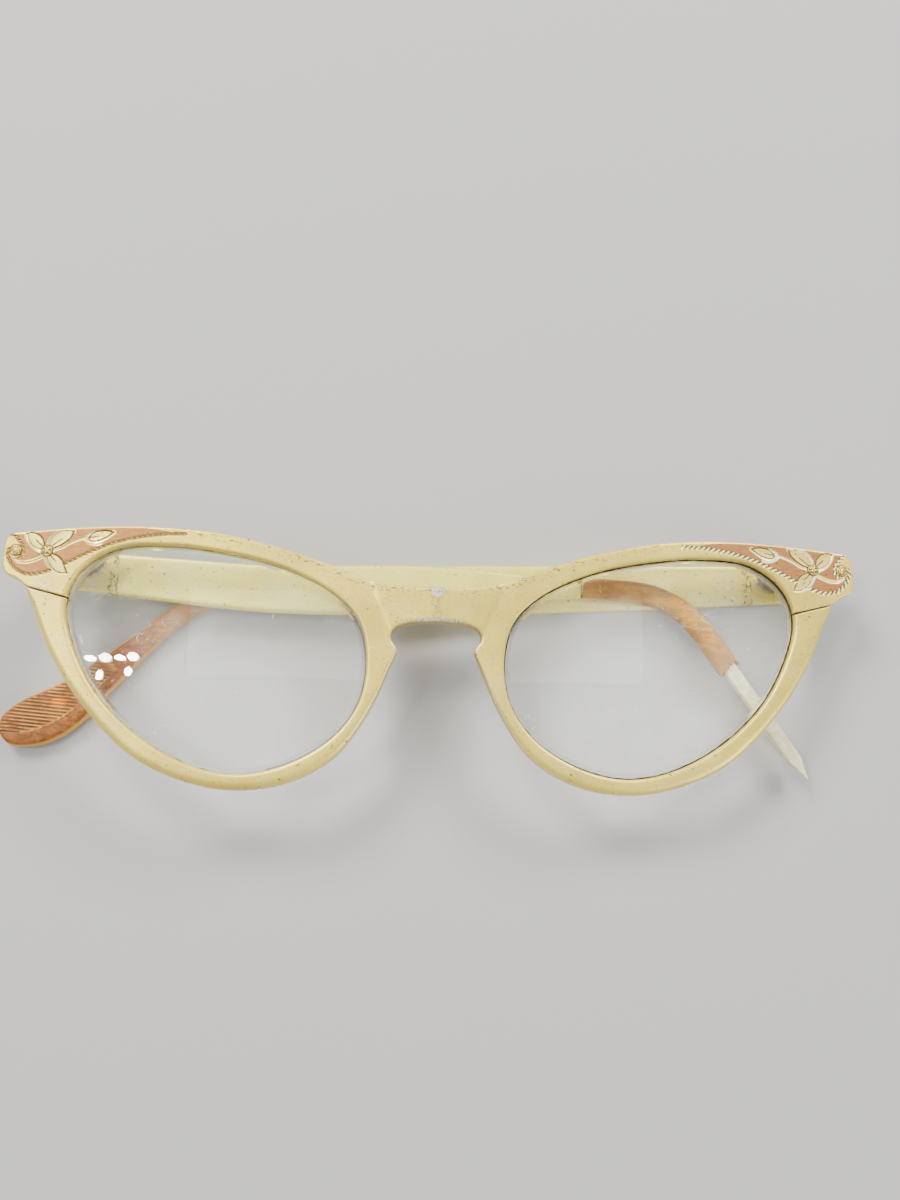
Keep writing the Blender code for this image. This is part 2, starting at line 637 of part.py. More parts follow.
def main():
    clear_scene()
    finishes = {
        "aluminium": material("gold_anodised_aluminium", (0.80, 0.70, 0.48), 0.38, 0.9),
        "steel": material("hinge_steel", (0.55, 0.55, 0.54), 0.35, 1.0),
        "lens": material("clear_lens", (0.93, 0.95, 0.96), 0.03, 0.0, 0.25),
        "plastic": material("amber_plastic", (0.60, 0.27, 0.09), 0.30, 0.0),
        "pad": material("clear_pad", (0.90, 0.88, 0.80), 0.15, 0.0, 0.5),
    }
    tilt = math.radians(LEFT_FOLD_SHORT_OF_PARALLEL)
    # The left hinge axis stands this high, so that the left temple's outer face is at z = 0.
    axis_height = -TEMPLE_OUTER
    lift = axis_height + HINGE_X * math.sin(tilt) - HINGE_Z * math.cos(tilt)
    shift_x, shift_y = ORIGIN_SHIFT
    plane = empty("front_plane", None, (shift_x, shift_y, lift), LEFT_FOLD_SHORT_OF_PARALLEL)
    build_front(finishes["aluminium"], plane)
    folds = {"left": LEFT_FOLD_SHORT_OF_PARALLEL, "right": RIGHT_FOLD_PAST_PARALLEL}
    for side, sign in SIDES.items():
        axis = empty(f"hinge_axis_{side}", plane, (sign * HINGE_X, 0, HINGE_Z), -folds[side])
        build_side(side, finishes, plane, axis)


main()
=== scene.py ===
"""Looks for the folded cat-eye spectacle frame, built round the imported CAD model.

Sizes are in millimetres until MM turns them into metres. The front is drawn in its own frame: +X
towards the wearer's left, +Y towards the brow, +Z out of the lenses, z = 0 on the crest of the rims.
A temple is drawn in its own frame: s along it from the hinge axis, y towards the brow, t towards its
inner side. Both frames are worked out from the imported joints.
"""

import json
import math

import bmesh
import bpy
import numpy as np
from mathutils import Matrix, Vector
from mathutils.geometry import delaunay_2d_cdt


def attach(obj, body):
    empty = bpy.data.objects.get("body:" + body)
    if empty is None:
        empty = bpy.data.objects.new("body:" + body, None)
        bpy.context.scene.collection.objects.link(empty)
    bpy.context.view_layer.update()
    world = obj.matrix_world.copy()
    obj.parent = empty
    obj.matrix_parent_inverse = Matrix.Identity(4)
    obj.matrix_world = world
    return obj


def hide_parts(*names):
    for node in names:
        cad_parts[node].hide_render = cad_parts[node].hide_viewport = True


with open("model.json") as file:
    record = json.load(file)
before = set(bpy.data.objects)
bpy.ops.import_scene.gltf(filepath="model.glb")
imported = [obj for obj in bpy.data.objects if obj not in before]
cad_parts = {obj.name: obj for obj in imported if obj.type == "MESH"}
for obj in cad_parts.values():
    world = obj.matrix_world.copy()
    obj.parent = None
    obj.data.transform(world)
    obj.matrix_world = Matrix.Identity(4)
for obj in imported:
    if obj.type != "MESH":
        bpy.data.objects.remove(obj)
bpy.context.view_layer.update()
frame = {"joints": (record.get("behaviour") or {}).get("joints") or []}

MM = 0.001
SIDES = {"left": 1, "right": -1}
JOINTS = {joint["name"]: joint for joint in frame["joints"]}
OPEN_ANGLE = 93

# ---- Front ---------------------------------------------------------------------------------------
THICKNESS = 3.0
BROW_EDGE = [
    (0, 1.1), (5, 1.3), (10, 2.1), (16, 4.3), (25, 7.2), (35, 9.3), (45, 10.0), (55, 9.6), (66.2, 8.4),
]
END_EDGE = [(66.2, 8.4), (67.0, 7.4), (67.2, 5.0), (67.1, 2.7), (66.4, 1.6)]
UNDER_END_EDGE = [(66.4, 1.6), (65, 1.15), (64, 0.5), (63.3, -0.2)]
RIM_EDGE = [
    (63.3, -0.2), (61.4, -4.9), (58.4, -11.0), (53.3, -18.1), (45.6, -25.4), (38, -29.0),
    (30, -30.4), (22, -29.2), (15, -25.2), (10, -18.1), (7.2, -11.6), (5.9, -8.6),
]
KEYHOLE_EDGE = [(5.9, -8.6), (6.9, -7.5), (7.15, -6.3), (6.4, -5.2), (4.6, -4.6), (2, -4.3), (0, -4.2)]
APERTURE = [
    (57.1, -3.2), (55.6, 2.2), (50.4, 6.2), (42.5, 7.05), (33.5, 6.2), (24.5, 4.1), (16.4, 0.2),
    (12.1, -4.2), (10.65, -10), (11.6, -16.8), (15.5, -22.4), (22.5, -26.6), (30.0, -28.0),
    (38, -26.2), (46.5, -21.1), (53.1, -13.7),
]
SLIT_INNER = np.array((55.5, -2.05))
SLIT_OUTER = np.array((65.0, 0.3))
SLIT_WIDTH = 0.3
SLIT_RUN = (SLIT_OUTER - SLIT_INNER) / np.linalg.norm(SLIT_OUTER - SLIT_INNER)
SLIT_NORMAL = np.array((-SLIT_RUN[1], SLIT_RUN[0]))
EDGE_STEP = 0.33
EDGE_ROWS = (0.03, 0.08, 0.15, 0.25, 0.38, 0.55, 0.78, 1.05)
PLAIN_GRID = 0.5
FINE_GRID = 0.11
DECORATED = (36.5, 0.9)
OUTER, INNER, SLIT, SEAM = range(4)
# Each wall from its front edge to its back: (z, how far it is cut back into the metal)
WALLS = {
    OUTER: [(-1.35, 0), (-1.7, 0), (-2.1, 0), (-2.6, 0), (-2.86, 0.07), (-3.0, 0.25)],
    INNER: [(-1.0, 0), (-1.3, 0), (-1.8, 0.55), (-2.3, 0), (-2.8, 0.02), (-3.0, 0.2)],
    SLIT: [(-1.35, 0), (-1.7, 0), (-2.1, 0), (-2.6, 0), (-2.86, 0), (-3.0, 0.05)],
    SEAM: [(-1.35, 0), (-1.7, 0), (-2.1, 0), (-2.6, 0), (-2.86, 0), (-3.0, 0)],
}
BRIDGE_FACET = (9.6, 0.44)
BRIDGE_STEP = 0.16
BRIDGE_RIDGE = 0.75
HINGE_SEAT = (58.2, 66.2, 2.1, 8.1, 0.9)
HINGE_SEAT_FLOOR = -2.14

# ---- Engraving of the end piece, drawn on the wearer's left and mirrored --------------------------
ROPE_LOW = [(39.5, 8.85), (42, 8.75), (45, 8.4), (48, 7.8), (51, 6.85), (54, 5.5), (56, 4.45), (57.7, 3.5)]
ROPE_END = [
    (59.8, 2.5), (60.8, 2.1), (62, 1.8), (63.2, 1.8), (64.3, 2.15), (65.3, 2.9), (66.0, 3.8), (66.4, 4.8),
    (66.35, 5.7),
]
ROPE_CURL = [(66.3, 8.0), (65.6, 7.8), (65.0, 7.2), (64.5, 6.6), (64.15, 5.9), (64.15, 5.1), (64.5, 4.6)]
FIELD_TOP = [(66.0, 7.95), (60, 8.8), (55, 9.3), (47, 9.65), (44, 9.45), (41, 8.95)]
PETALS = [
    # (the plain side, the side with the wide bright cut, the vein)
    ([(61.0, 6.2), (61.15, 7.1), (61.8, 7.95), (62.8, 8.35), (63.85, 8.25)],
     [(63.85, 8.25), (63.5, 7.3), (62.9, 6.5), (62.1, 5.95), (61.2, 5.6)], [(61.3, 6.3), (62.3, 7.2)]),
    ([(59.8, 5.9), (58.7, 6.35), (57.7, 7.1), (57.0, 7.9), (56.7, 8.8)],
     [(56.7, 8.8), (57.8, 8.85), (58.8, 8.55), (59.7, 7.9), (60.15, 7.1), (60.2, 6.3)],
     [(59.8, 6.3), (58.4, 7.5)]),
    ([(59.7, 5.1), (58.7, 4.7), (57.95, 3.9), (57.6, 3.0), (57.2, 2.1)],
     [(57.2, 2.1), (58.3, 2.15), (59.3, 2.7), (60.0, 3.5), (60.55, 4.7)], [(60.0, 4.9), (59.1, 4.0)]),
    ([(54.35, 7.8), (53.9, 8.4), (53.0, 8.85), (51.8, 9.0), (50.6, 8.8)],
     [(50.6, 8.8), (51.6, 8.0), (52.6, 7.45), (53.6, 7.2), (54.35, 7.5), (54.35, 7.8)],
     [(54.0, 7.8), (52.7, 8.1)]),
]
STEM = [(54.9, 7.8), (56.1, 7.35), (57.3, 6.75), (58.5, 6.0), (59.8, 5.65)]
SCROLL = [(61.3, 4.85), (62.3, 4.35), (63.4, 4.0), (64.5, 3.9), (65.5, 4.2)]
SCROLL_LOWER = [(61.1, 4.5), (62.2, 3.95), (63.4, 3.6), (64.6, 3.65), (65.5, 4.2)]
CALYX = [(53.6, 8.75), (54.6, 8.2), (54.85, 7.5), (54.2, 6.95), (53.1, 6.75), (52.4, 6.95)]
CUT_DEPTH = 0.15
RIVETS = {1: (60.5, 5.55), 2: (65.2, 5.5)}

# ---- Lens -----------------------------------------------------------------------------------------
LENS_CENTRE = np.array((33.5, -9.5))
LENS_RADIUS = 160.0
LENS_TOP = 0.35
LENS_THICKNESS = 1.6
LENS_BEVEL = (0.38, -1.8)
LENS_FLAT = -0.9
LENS_BACK_FLAT = -0.4

# ---- Hinges and screws ----------------------------------------------------------------------------
HINGE_X, HINGE_Y, HINGE_Z = 61.0, 5.2, -6.2
KNUCKLE_RADIUS = 1.3
KNUCKLE_BORE = 0.66
MIDDLE_KNUCKLE = (HINGE_Y - 0.85, HINGE_Y + 0.85)
OUTER_KNUCKLES = [(HINGE_Y - 2.45, HINGE_Y - 0.95), (HINGE_Y + 0.95, HINGE_Y + 2.45)]
FRONT_LEAF = (58.3, 66.1, 2.2, 8.0)
FRONT_LEAF_THICKNESS = 0.8
TEMPLE_LEAF = (1.65, 7.3)
TEMPLE_LEAF_HALF = 2.1
TEMPLE_LEAF_THICKNESS = 0.7
TEMPLE_RIVETS = (3.1, 5.7)
RIM_SCREW = (59.4, -4.1)
RIM_LUG = (58.2, 60.6, -3.6, 1.6)
RIM_LUG_DEPTH = 5.3

# ---- Nose pads ------------------------------------------------------------------------------------
PAD_LINE = [(8.5, -9.8), (10.9, -17.6)]
PAD_HALF_WIDTH = 0.95
PAD_LAYERS = [
    (-3.08, 0.0, 0.88), (-3.3, 0.02, 1.0), (-4.2, 0.1, 1.0), (-5.0, 0.2, 0.95), (-5.5, 0.27, 0.84),
    (-5.85, 0.32, 0.68), (-6.05, 0.35, 0.48), (-6.1, 0.36, 0.25),
]
PAD_PINS = (0.22, 0.62)

# ---- Temples: (s, y of the middle, half height) ---------------------------------------------------
BAND_FACES = (-3.6, -1.7)
BAND = {
    "right": [
        (-2.75, 4.7, 3.1), (7.5, 3.9, 3.35), (19, 2.95, 3.65), (33, 2.0, 3.9), (47, 2.1, 4.2),
        (57, 2.3, 4.2), (68, 2.7, 3.3), (77, 3.0, 2.2), (85, 3.1, 1.7),
    ],
    "left": [
        (-2.75, 4.9, 3.1), (7.5, 4.6, 3.35), (19, 4.1, 3.65), (33, 3.6, 3.9), (47, 3.2, 4.2),
        (57, 3.0, 4.2), (68, 3.0, 3.3), (77, 3.0, 2.2), (85, 2.8, 1.7),
    ],
}
CORE_HALF_WIDTH = 1.1
CORE_FACES = (-3.15, -1.45)
CORE = {
    "right": [
        (83.5, 3.15), (91, 2.8), (95.6, 2.3), (99.1, 1.1), (101.6, -0.4), (103.8, -2.4), (106, -5.2),
        (109, -9.7), (121.4, -27.4),
    ],
    "left": [(83.5, 2.85), (92, 2.3), (97.5, 1.1), (101.2, -0.6), (105, -3.6), (109.4, -7.6), (119, -16.6)],
}
CORE_POINT = 4.0
COVER_FACES = (-3.6, -1.0)
COVER_GAP = 0.1
COVER = {
    "right": [
        (85.3, 3.1, 1.7), (91, 2.8, 1.75), (95.6, 2.3, 1.8), (99.1, 1.1, 1.8), (101.6, -0.4, 1.8),
        (103.8, -2.4, 1.85), (106, -5.2, 1.9), (109, -9.7, 1.9),
    ],
    "left": [
        (85.3, 2.8, 1.7), (92, 2.3, 1.75), (97.5, 1.1, 1.8), (101.2, -0.6, 1.8), (105, -3.6, 1.8),
        (109.4, -7.6, 2.0), (116, -13.7, 3.0), (120, -17.0, 3.8), (122.8, -18.8, 4.1),
        (125.6, -20.0, 4.0), (128.4, -20.9, 3.2), (129.9, -21.25, 2.2), (130.5, -21.4, 1.1),
    ],
}
RIB_PITCH = 0.56
RIB_HEIGHT = 0.09
GLOW_PLACE = (121.4, -16.9)
GLOW_REACH = (2.6, 1.5)
RING_GROOVE = (83.6, 0.09)

# ---- Camera, in the front's frame -----------------------------------------------------------------
CAMERA_PLACE = (-4.49, -29.06, 137.92)
CAMERA_RIGHT = (0.99864, 0.01367, 0.05024)
CAMERA_AHEAD = (0.04648, 0.20086, -0.97852)
CAMERA_LENS = 27

# ---- Studio: the small panes of light that the lens mirrors, in metres -----------------------------
PANES = [
    (-0.407, 0.073, 0.012, 0.026), (-0.371, 0.073, 0.017, 0.028), (-0.337, 0.072, 0.011, 0.024),
    (-0.308, 0.073, 0.016, 0.024), (-0.381, 0.038, 0.021, 0.015), (-0.316, 0.044, 0.018, 0.015),
]


# ---- Frames of the parts --------------------------------------------------------------------------
def axis_frame(x_way, z_way, origin):
    """Millimetres in a part's own frame to metres in the row's frame."""
    turn = Matrix((x_way, Vector((0, 1, 0)), z_way)).transposed().to_4x4()
    return Matrix.Translation(origin) @ turn @ Matrix.Scale(MM, 4)


def part_frames():
    pins = {side: Vector(JOINTS[f"{side}_temple_fold"]["pos_m"]) for side in SIDES}
    reach = {side: JOINTS[f"{side}_temple_fold"]["range_deg"][1] for side in SIDES}
    across = (pins["left"] - pins["right"]).normalized()
    outward = across.cross(Vector((0, 1, 0)))
    drop = Vector((0, HINGE_Y * MM, 0))
    middle = (pins["left"] + pins["right"]) / 2
    made = {"front": axis_frame(across, outward, middle - drop - outward * HINGE_Z * MM)}
    for side, sign in SIDES.items():
        turn = Matrix.Rotation(math.radians(-abs(reach[side] - OPEN_ANGLE)), 3, "Y")
        made[side] = axis_frame(turn @ across * -sign, turn @ outward, pins[side] - drop)
    return made


FRAMES = part_frames()


# ---- Curves and distances in the plane ------------------------------------------------------------
def smoothstep(low, high, value):
    share = np.clip((value - low) / (high - low), 0, 1)
    return share * share * (3 - 2 * share)


def curve_through(points, step, closed=False):
    """Points about step apart along the centripetal Catmull-Rom curve through the given points."""
    knots = np.asarray(points, float)
    if closed:
        padded = np.vstack([knots[-1:], knots, knots[:2]])
    else:
        padded = np.vstack([2 * knots[:1] - knots[1:2], knots, 2 * knots[-1:] - knots[-2:-1]])
    out = []
    for a, b, c, d in zip(padded, padded[1:], padded[2:], padded[3:]):
        ta = 0.0
        tb = ta + math.dist(a[:2], b[:2]) ** 0.5
        tc = tb + math.dist(b[:2], c[:2]) ** 0.5
        td = tc + math.dist(c[:2], d[:2]) ** 0.5
        count = max(1, round(math.dist(b[:2], c[:2]) / step))
        for t in np.linspace(tb, tc, count, endpoint=False):
            ab = a + (b - a) * (t - ta) / (tb - ta)
            bc = b + (c - b) * (t - tb) / (tc - tb)
            cd = c + (d - c) * (t - tc) / (td - tc)
            abc = ab + (bc - ab) * (t - ta) / (tc - ta)
            bcd = bc + (cd - bc) * (t - tb) / (td - tb)
            out.append(abc + (bcd - abc) * (t - tb) / (tc - tb))
    if not closed:
        out.append(knots[-1])
    return np.array(out)


def evened(line, step):
    """The same polyline with its points an even distance apart."""
    run = np.concatenate([[0], np.cumsum(np.linalg.norm(np.diff(line, axis=0), axis=1))])
    places = np.linspace(0, run[-1], max(2, round(run[-1] / step) + 1))
    return np.column_stack([np.interp(places, run, line[:, k]) for k in range(line.shape[1])])


def softened(line, times):
    """An open polyline with its corners rounded a little."""
    line = line.copy()
    for _ in range(times):
        line[1:-1] = line[1:-1] / 2 + (line[:-2] + line[2:]) / 4
    return line


def unit(vectors):
    return vectors / np.maximum(np.linalg.norm(vectors, axis=-1, keepdims=True), 1e-9)


def outward_normals(loop):
    """Mitred normals of an anticlockwise closed loop."""
    ahead = unit(np.roll(loop, -1, axis=0) - loop)
    behind = np.roll(ahead, 1, axis=0)
    normal = unit(np.column_stack([ahead[:, 1] + behind[:, 1], -ahead[:, 0] - behind[:, 0]]))
    cosine = np.sum(normal * np.column_stack([ahead[:, 1], -ahead[:, 0]]), axis=1)
    return normal / np.clip(cosine, 0.6, 1)[:, None]


def distance_to(points, *lines):
    """Distance from each point to the nearest of some polylines."""
    starts = np.vstack([line[:-1] for line in lines])
    runs = np.vstack([np.diff(line, axis=0) for line in lines])
    length = np.maximum(np.sum(runs * runs, axis=1), 1e-12)
    best = np.empty(len(points))
    for k in range(0, len(points), 2000):
        away = points[k : k + 2000, None] - starts
        share = np.clip(np.sum(away * runs, axis=2) / length, 0, 1)
        best[k : k + 2000] = np.sqrt(np.min(np.sum((away - share[..., None] * runs) ** 2, axis=2), axis=1))
    return best


def inside(points, loop):
    """True for each point inside a closed loop."""
    x0, y0 = loop.T
    x1, y1 = np.roll(loop, -1, axis=0).T
    found = np.zeros(len(points), bool)
    for k in range(0, len(points), 4000):
        x, y = points[k : k + 4000].T[..., None]
        spans = (y0 > y) != (y1 > y)
        cut = x0 + (y - y0) * (x1 - x0) / np.where(y1 == y0, 1, y1 - y0)
        found[k : k + 4000] = np.sum(spans & (x < cut), axis=1) % 2 == 1
    return found


def hexagonal(x0, x1, y0, y1, step):
    """A triangular lattice of points."""
    points = []
    for k, y in enumerate(np.arange(y0, y1, step * math.sqrt(3) / 2)):
        x = np.arange(x0 + (k % 2) * step / 2, x1, step)
        points.append(np.column_stack([x, np.full(len(x), y)]))
    return np.vstack(points)


def rounded_rectangle(x0, x1, y0, y1, radius, per_corner=6):
    corners = [(x1 - radius, y0 + radius, -90), (x1 - radius, y1 - radius, 0)]
    corners += [(x0 + radius, y1 - radius, 90), (x0 + radius, y0 + radius, 180)]
    loop = []
    for cx, cy, start in corners:
        for k in range(per_corner + 1):
            angle = math.radians(start + 90 * k / per_corner)
            loop.append((cx + radius * math.cos(angle), cy + radius * math.sin(angle)))
    return np.array(loop)


# ---- Pieces ---------------------------------------------------------------------------------------
def placed(name, vertices, faces, part, finish, slot, stands_for=(), values=None, sharp=40):
    """A piece from a mesh drawn in a part's frame, in millimetres; values are kept at its vertices."""
    body = "front" if part == "front" else f"{part}_temple"
    mesh = bpy.data.meshes.new(name)
    turn, shift = FRAMES[part].to_3x3(), FRAMES[part].translation
    world = np.asarray(vertices, float) @ np.array(turn).T + np.array(shift)
    mesh.from_pydata(world.tolist(), [], [list(map(int, face)) for face in faces])
    for key, numbers in (values or {}).items():
        mesh.attributes.new(key, "FLOAT", "POINT").data.foreach_set("value", np.asarray(numbers, np.float32))
    bm = bmesh.new()
    bm.from_mesh(mesh)
    bmesh.ops.recalc_face_normals(bm, faces=bm.faces)
    bm.to_mesh(mesh)
    bm.free()
    mesh.shade_smooth()
    mesh.set_sharp_from_angle(angle=math.radians(sharp))
    mesh.materials.append(finish)
    made = bpy.data.objects.new(name, mesh)
    bpy.context.scene.collection.objects.link(made)
    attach(made, body)
    if stands_for:
        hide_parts(*stands_for)
    return made


def ring_faces(start, rings, count, closed=True):
    """Quads between rings of the same count, numbered one after another from start."""
    faces = []
    for r in range(rings - 1):
        for k in range(count if closed else count - 1):
            a = start + r * count + k
            b = start + r * count + (k + 1) % count
            faces.append((a, b, b + count, a + count))
    return faces


def tube(rings, close_ends=True):
    """(vertices, faces) of a closed body from rings of the same count; its ends are fans."""
    count = len(rings[0])
    vertices = np.vstack(rings)
    faces = ring_faces(0, len(rings), count)
    if not close_ends:
        last = (len(rings) - 1) * count
        for k in range(count):
            nxt = (k + 1) % count
            faces.append((last + k, last + nxt, nxt, k))
        return vertices, faces
    ends = np.array([np.mean(rings[0], axis=0), np.mean(rings[-1], axis=0)])
    first = len(vertices)
    base = (len(rings) - 1) * count
    for k in range(count):
        nxt = (k + 1) % count
        faces.append((nxt, k, first))
        faces.append((base + k, base + nxt, first + 1))
    return np.vstack([vertices, ends]), faces


def plate(loop, low, high, edge=0.08):
    """(vertices, faces) of a flat plate with softened edges."""
    loop = np.asarray(loop, float)
    normal = outward_normals(loop)
    layers = [(low, edge), (low + edge * 0.3, edge * 0.3), (low + edge, 0)]
    layers += [(high - edge, 0), (high - edge * 0.3, edge * 0.3), (high, edge)]
    return tube([np.column_stack([loop - normal * cut, np.full(len(loop), z)]) for z, cut in layers])


def turned(profile, base, axis, segments=40, hollow=False):
    """(vertices, faces) of a round body; each profile point is (radius, height along the axis)."""
    turn = Vector(axis).to_track_quat("Z", "Y").to_matrix()
    angles = 2 * math.pi * np.arange(segments) / segments
    rings = []
    for radius, height in profile:
        ring = np.column_stack([radius * np.cos(angles), radius * np.sin(angles), np.full(segments, height)])
        rings.append(ring @ np.array(turn).T + np.array(base))
    return tube(rings, close_ends=not hollow)


def united(solids, cuts=()):
    """(vertices, faces) of some solids joined into one body, with others cut out of it."""
    objects = []
    for vertices, faces in [*solids, *cuts]:
        mesh = bpy.data.meshes.new("tool")
        mesh.from_pydata(np.asarray(vertices, float).tolist(), [], [list(map(int, face)) for face in faces])
        bm = bmesh.new()
        bm.from_mesh(mesh)
        bmesh.ops.recalc_face_normals(bm, faces=bm.faces)
        bm.to_mesh(mesh)
        bm.free()
        objects.append(bpy.data.objects.new("tool", mesh))
        bpy.context.scene.collection.objects.link(objects[-1])
    for number, tool in enumerate(objects[1:], 1):
        step = objects[0].modifiers.new("step", "BOOLEAN")
        step.operation = "UNION" if number < len(solids) else "DIFFERENCE"
        step.object = tool
    done = objects[0].evaluated_get(bpy.context.evaluated_depsgraph_get()).to_mesh()
    vertices = np.array([v.co for v in done.vertices])
    faces = [tuple(face.vertices) for face in done.polygons]
    for tool in objects:
        bpy.data.objects.remove(tool)
    return vertices, faces


def mirrored(solid, sign):
    vertices, faces = solid
    return np.asarray(vertices) * (sign, 1, 1), faces


def brick(x0, x1, y0, y1, z0, z1):
    loop = np.array([(x0, y0), (x1, y0), (x1, y1), (x0, y1)], float)
    return tube([np.column_stack([loop, np.full(4, z)]) for z in (z0, z1)])


# ---- Front: outline, relief and mesh --------------------------------------------------------------
def front_edge():
    """The outline of the wearer's left half, anticlockwise from the keyhole's middle to the brow's."""
    half = []
    for run in (BROW_EDGE, END_EDGE, UNDER_END_EDGE, RIM_EDGE, KEYHOLE_EDGE):
        half.append(curve_through(run, 0.3)[:-1])
    half.append(np.array(KEYHOLE_EDGE[-1:], float))
    return softened(evened(np.vstack(half)[::-1], EDGE_STEP), 4)


def crossing(line, level, near):
    """Where a polyline crosses a line beside the slit's middle: (index before it, the point)."""
    across = (line - SLIT_INNER) @ SLIT_NORMAL - level
    close = np.linalg.norm(line - near, axis=1) < 2.5
    for k in range(len(line) - 1):
        if close[k] and across[k] * across[k + 1] <= 0:
            return k, line[k] + (line[k + 1] - line[k]) * across[k] / (across[k] - across[k + 1])
    raise ValueError("the slit misses the edge")


def half_loop(edge, opening):
    """One closed loop round the half front, through the slit and round the lens, and each point's kind."""
    ring = np.vstack([opening, opening[:1]])
    low_out, p_low = crossing(edge, -SLIT_WIDTH / 2, (63.3, -0.2))
    high_out, p_high = crossing(edge, SLIT_WIDTH / 2, (63.3, -0.2))
    low_in, q_low = crossing(ring, -SLIT_WIDTH / 2, (56.6, -1.8))
    high_in, q_high = crossing(ring, SLIT_WIDTH / 2, (56.6, -1.8))
    seam = np.linspace(edge[-1], edge[0], 18)[1:-1]
    parts = [
        (edge[: low_out + 1], OUTER), (evened(np.array([p_low, q_low]), EDGE_STEP), SLIT),
        (opening[: low_in + 1][::-1], INNER), (opening[high_in + 1 :][::-1], INNER),
        (evened(np.array([q_high, p_high]), EDGE_STEP), SLIT), (edge[high_out + 1 :], OUTER), (seam, SEAM),
    ]
    kinds = [[kind] * len(line) for line, kind in parts]
    return np.vstack([line for line, _ in parts]), np.concatenate(kinds)


def rope_cuts(path, pitch=0.8, length=0.66, lean=42):
    """The short slanting cuts of a rope border along a path."""
    line = evened(curve_through(path, 0.2), pitch)
    run = unit(np.gradient(line, axis=0))
    turn = math.radians(lean)
    way = run @ np.array([(math.cos(turn), math.sin(turn)), (-math.sin(turn), math.cos(turn))])
    return [np.array([p - w * length / 2, p + w * length / 2]) for p, w in zip(line, way)]


def engraving():
    """Every cut of the decoration as (line, width to each side, depth), and the pieces of its colour."""
    ropes = [*rope_cuts(ROPE_LOW), *rope_cuts(ROPE_END), *rope_cuts(ROPE_CURL, lean=-34)]
    petals = []
    for plain, bright, vein in PETALS:
        petals.append((curve_through(plain, 0.2), curve_through(bright, 0.2), np.array(vein, float)))
    lines = {name: curve_through(path, 0.2) for name, path in (
        ("stem", STEM), ("scroll", SCROLL), ("scroll_lower", SCROLL_LOWER), ("calyx", CALYX),
        ("low", ROPE_LOW), ("end", ROPE_END), ("curl", ROPE_CURL), ("top", FIELD_TOP),
    )}
    return ropes, petals, lines


ROPES, PETAL_LINES, CARVED = engraving()


# name, half width, brightness
PLAIN_CUTS = (("stem", 0.2, 0.9), ("scroll", 0.14, 0.2), ("scroll_lower", 0.16, 1.0), ("calyx", 0.2, 1.0))


def carve(points):
    """Depth of cut, signed distance into the copper, brightness of the cut metal (partly a painted
    highlight), dirt with painted shade, and rope.
    """
    depth = np.zeros(len(points))
    bright = np.zeros(len(points))
    dirt_and_shade = np.zeros(len(points))

    def cut(distance, reach, deep, shine):
        here = deep * np.clip(1 - distance / reach, 0, 1)
        np.maximum(depth, here, out=depth)
        np.maximum(bright, shine * (distance < reach), out=bright)

    field = np.vstack([CARVED["low"], CARVED["end"], CARVED["curl"][::-1], CARVED["top"]])
    edge = distance_to(points, np.vstack([field, field[:1]]))
    copper = np.where(inside(points, field), edge, -edge)
    to_rope = distance_to(points, *ROPES)
    cut(to_rope, 0.13, 0.14, 0.0)
    rope = to_rope - 0.095
    for name in ("low", "end", "curl"):
        beside = distance_to(points, CARVED[name])
        cut(beside, 0.3, 0.04, 0.0)
        dirt_and_shade = np.maximum(dirt_and_shade, 0.9 * (beside < 0.3) * smoothstep(-0.01, 0.05, rope))
        copper = np.minimum(copper, beside - 0.24)
    for plain, wide, vein in PETAL_LINES:
        body = inside(points, np.vstack([plain, wide[1:-1]]))
        to_plain, to_wide = distance_to(points, plain), distance_to(points, wide)
        nearest = np.minimum(to_plain, to_wide)
        copper = np.where(body, np.minimum(copper, -nearest), copper)
        copper = np.minimum(copper, to_wide - 0.4)
        copper = np.minimum(copper, to_plain - 0.14)
        base = min((wide[0], wide[-1]), key=lambda end: np.linalg.norm(end - RIVETS[1]))
        along = np.linalg.norm(points - base, axis=1) / np.linalg.norm(wide[0] - wide[-1])
        reach = 0.48 - 0.26 * smoothstep(0.1, 1.0, along)
        cut(np.where(body, np.inf, to_wide), reach, CUT_DEPTH, 1.0)
        cut(np.where(body, np.inf, to_plain), 0.16, CUT_DEPTH, 0.0)
        cut(np.where(body, nearest, np.inf), 0.12, CUT_DEPTH, 0.0)
        to_vein = distance_to(points, vein)
        cut(to_vein, 0.11, 0.1, 0.0)
        # Dark lines along the petal outlines and veins: groove dirt and painted shade.
        outline = np.minimum(np.where(body, nearest, to_plain), to_vein + 0.02)
        dirt_and_shade = np.maximum(dirt_and_shade, smoothstep(0.19, 0.09, outline))
        bright = np.where(body, np.maximum(bright, 0.34 * smoothstep(0.08, 0.2, nearest)), bright)
        sag = 0.05 * smoothstep(0.0, 0.5, nearest)
        depth = np.where(body, np.maximum(depth, sag), depth)
    for name, reach, shine in PLAIN_CUTS:
        distance = distance_to(points, CARVED[name])
        cut(distance, reach, 0.12, shine)
        copper = np.minimum(copper, distance - reach)
    between = inside(points, np.vstack([CARVED["scroll"], CARVED["scroll_lower"][::-1]]))
    crescent = inside(points, np.vstack([CARVED["calyx"], PETAL_LINES[3][1][::-1]]))
    copper = np.where(between | crescent, -0.3, copper)
    for place in RIVETS.values():
        around = np.linalg.norm(points - place, axis=1)
        copper = np.minimum(copper, around - 1.1)
        dirt_and_shade = np.maximum(dirt_and_shade, smoothstep(1.1, 0.92, around))
        cut(np.abs(around - 0.86), 0.16, 0.1, 0.0)
    return depth, copper, bright, dirt_and_shade, rope


def rounded_over(distance, radius, drop, power=2.2):
    share = np.clip(1 - distance / radius, 0, 1)
    return drop * (1 - (1 - share**power) ** (1 / power))


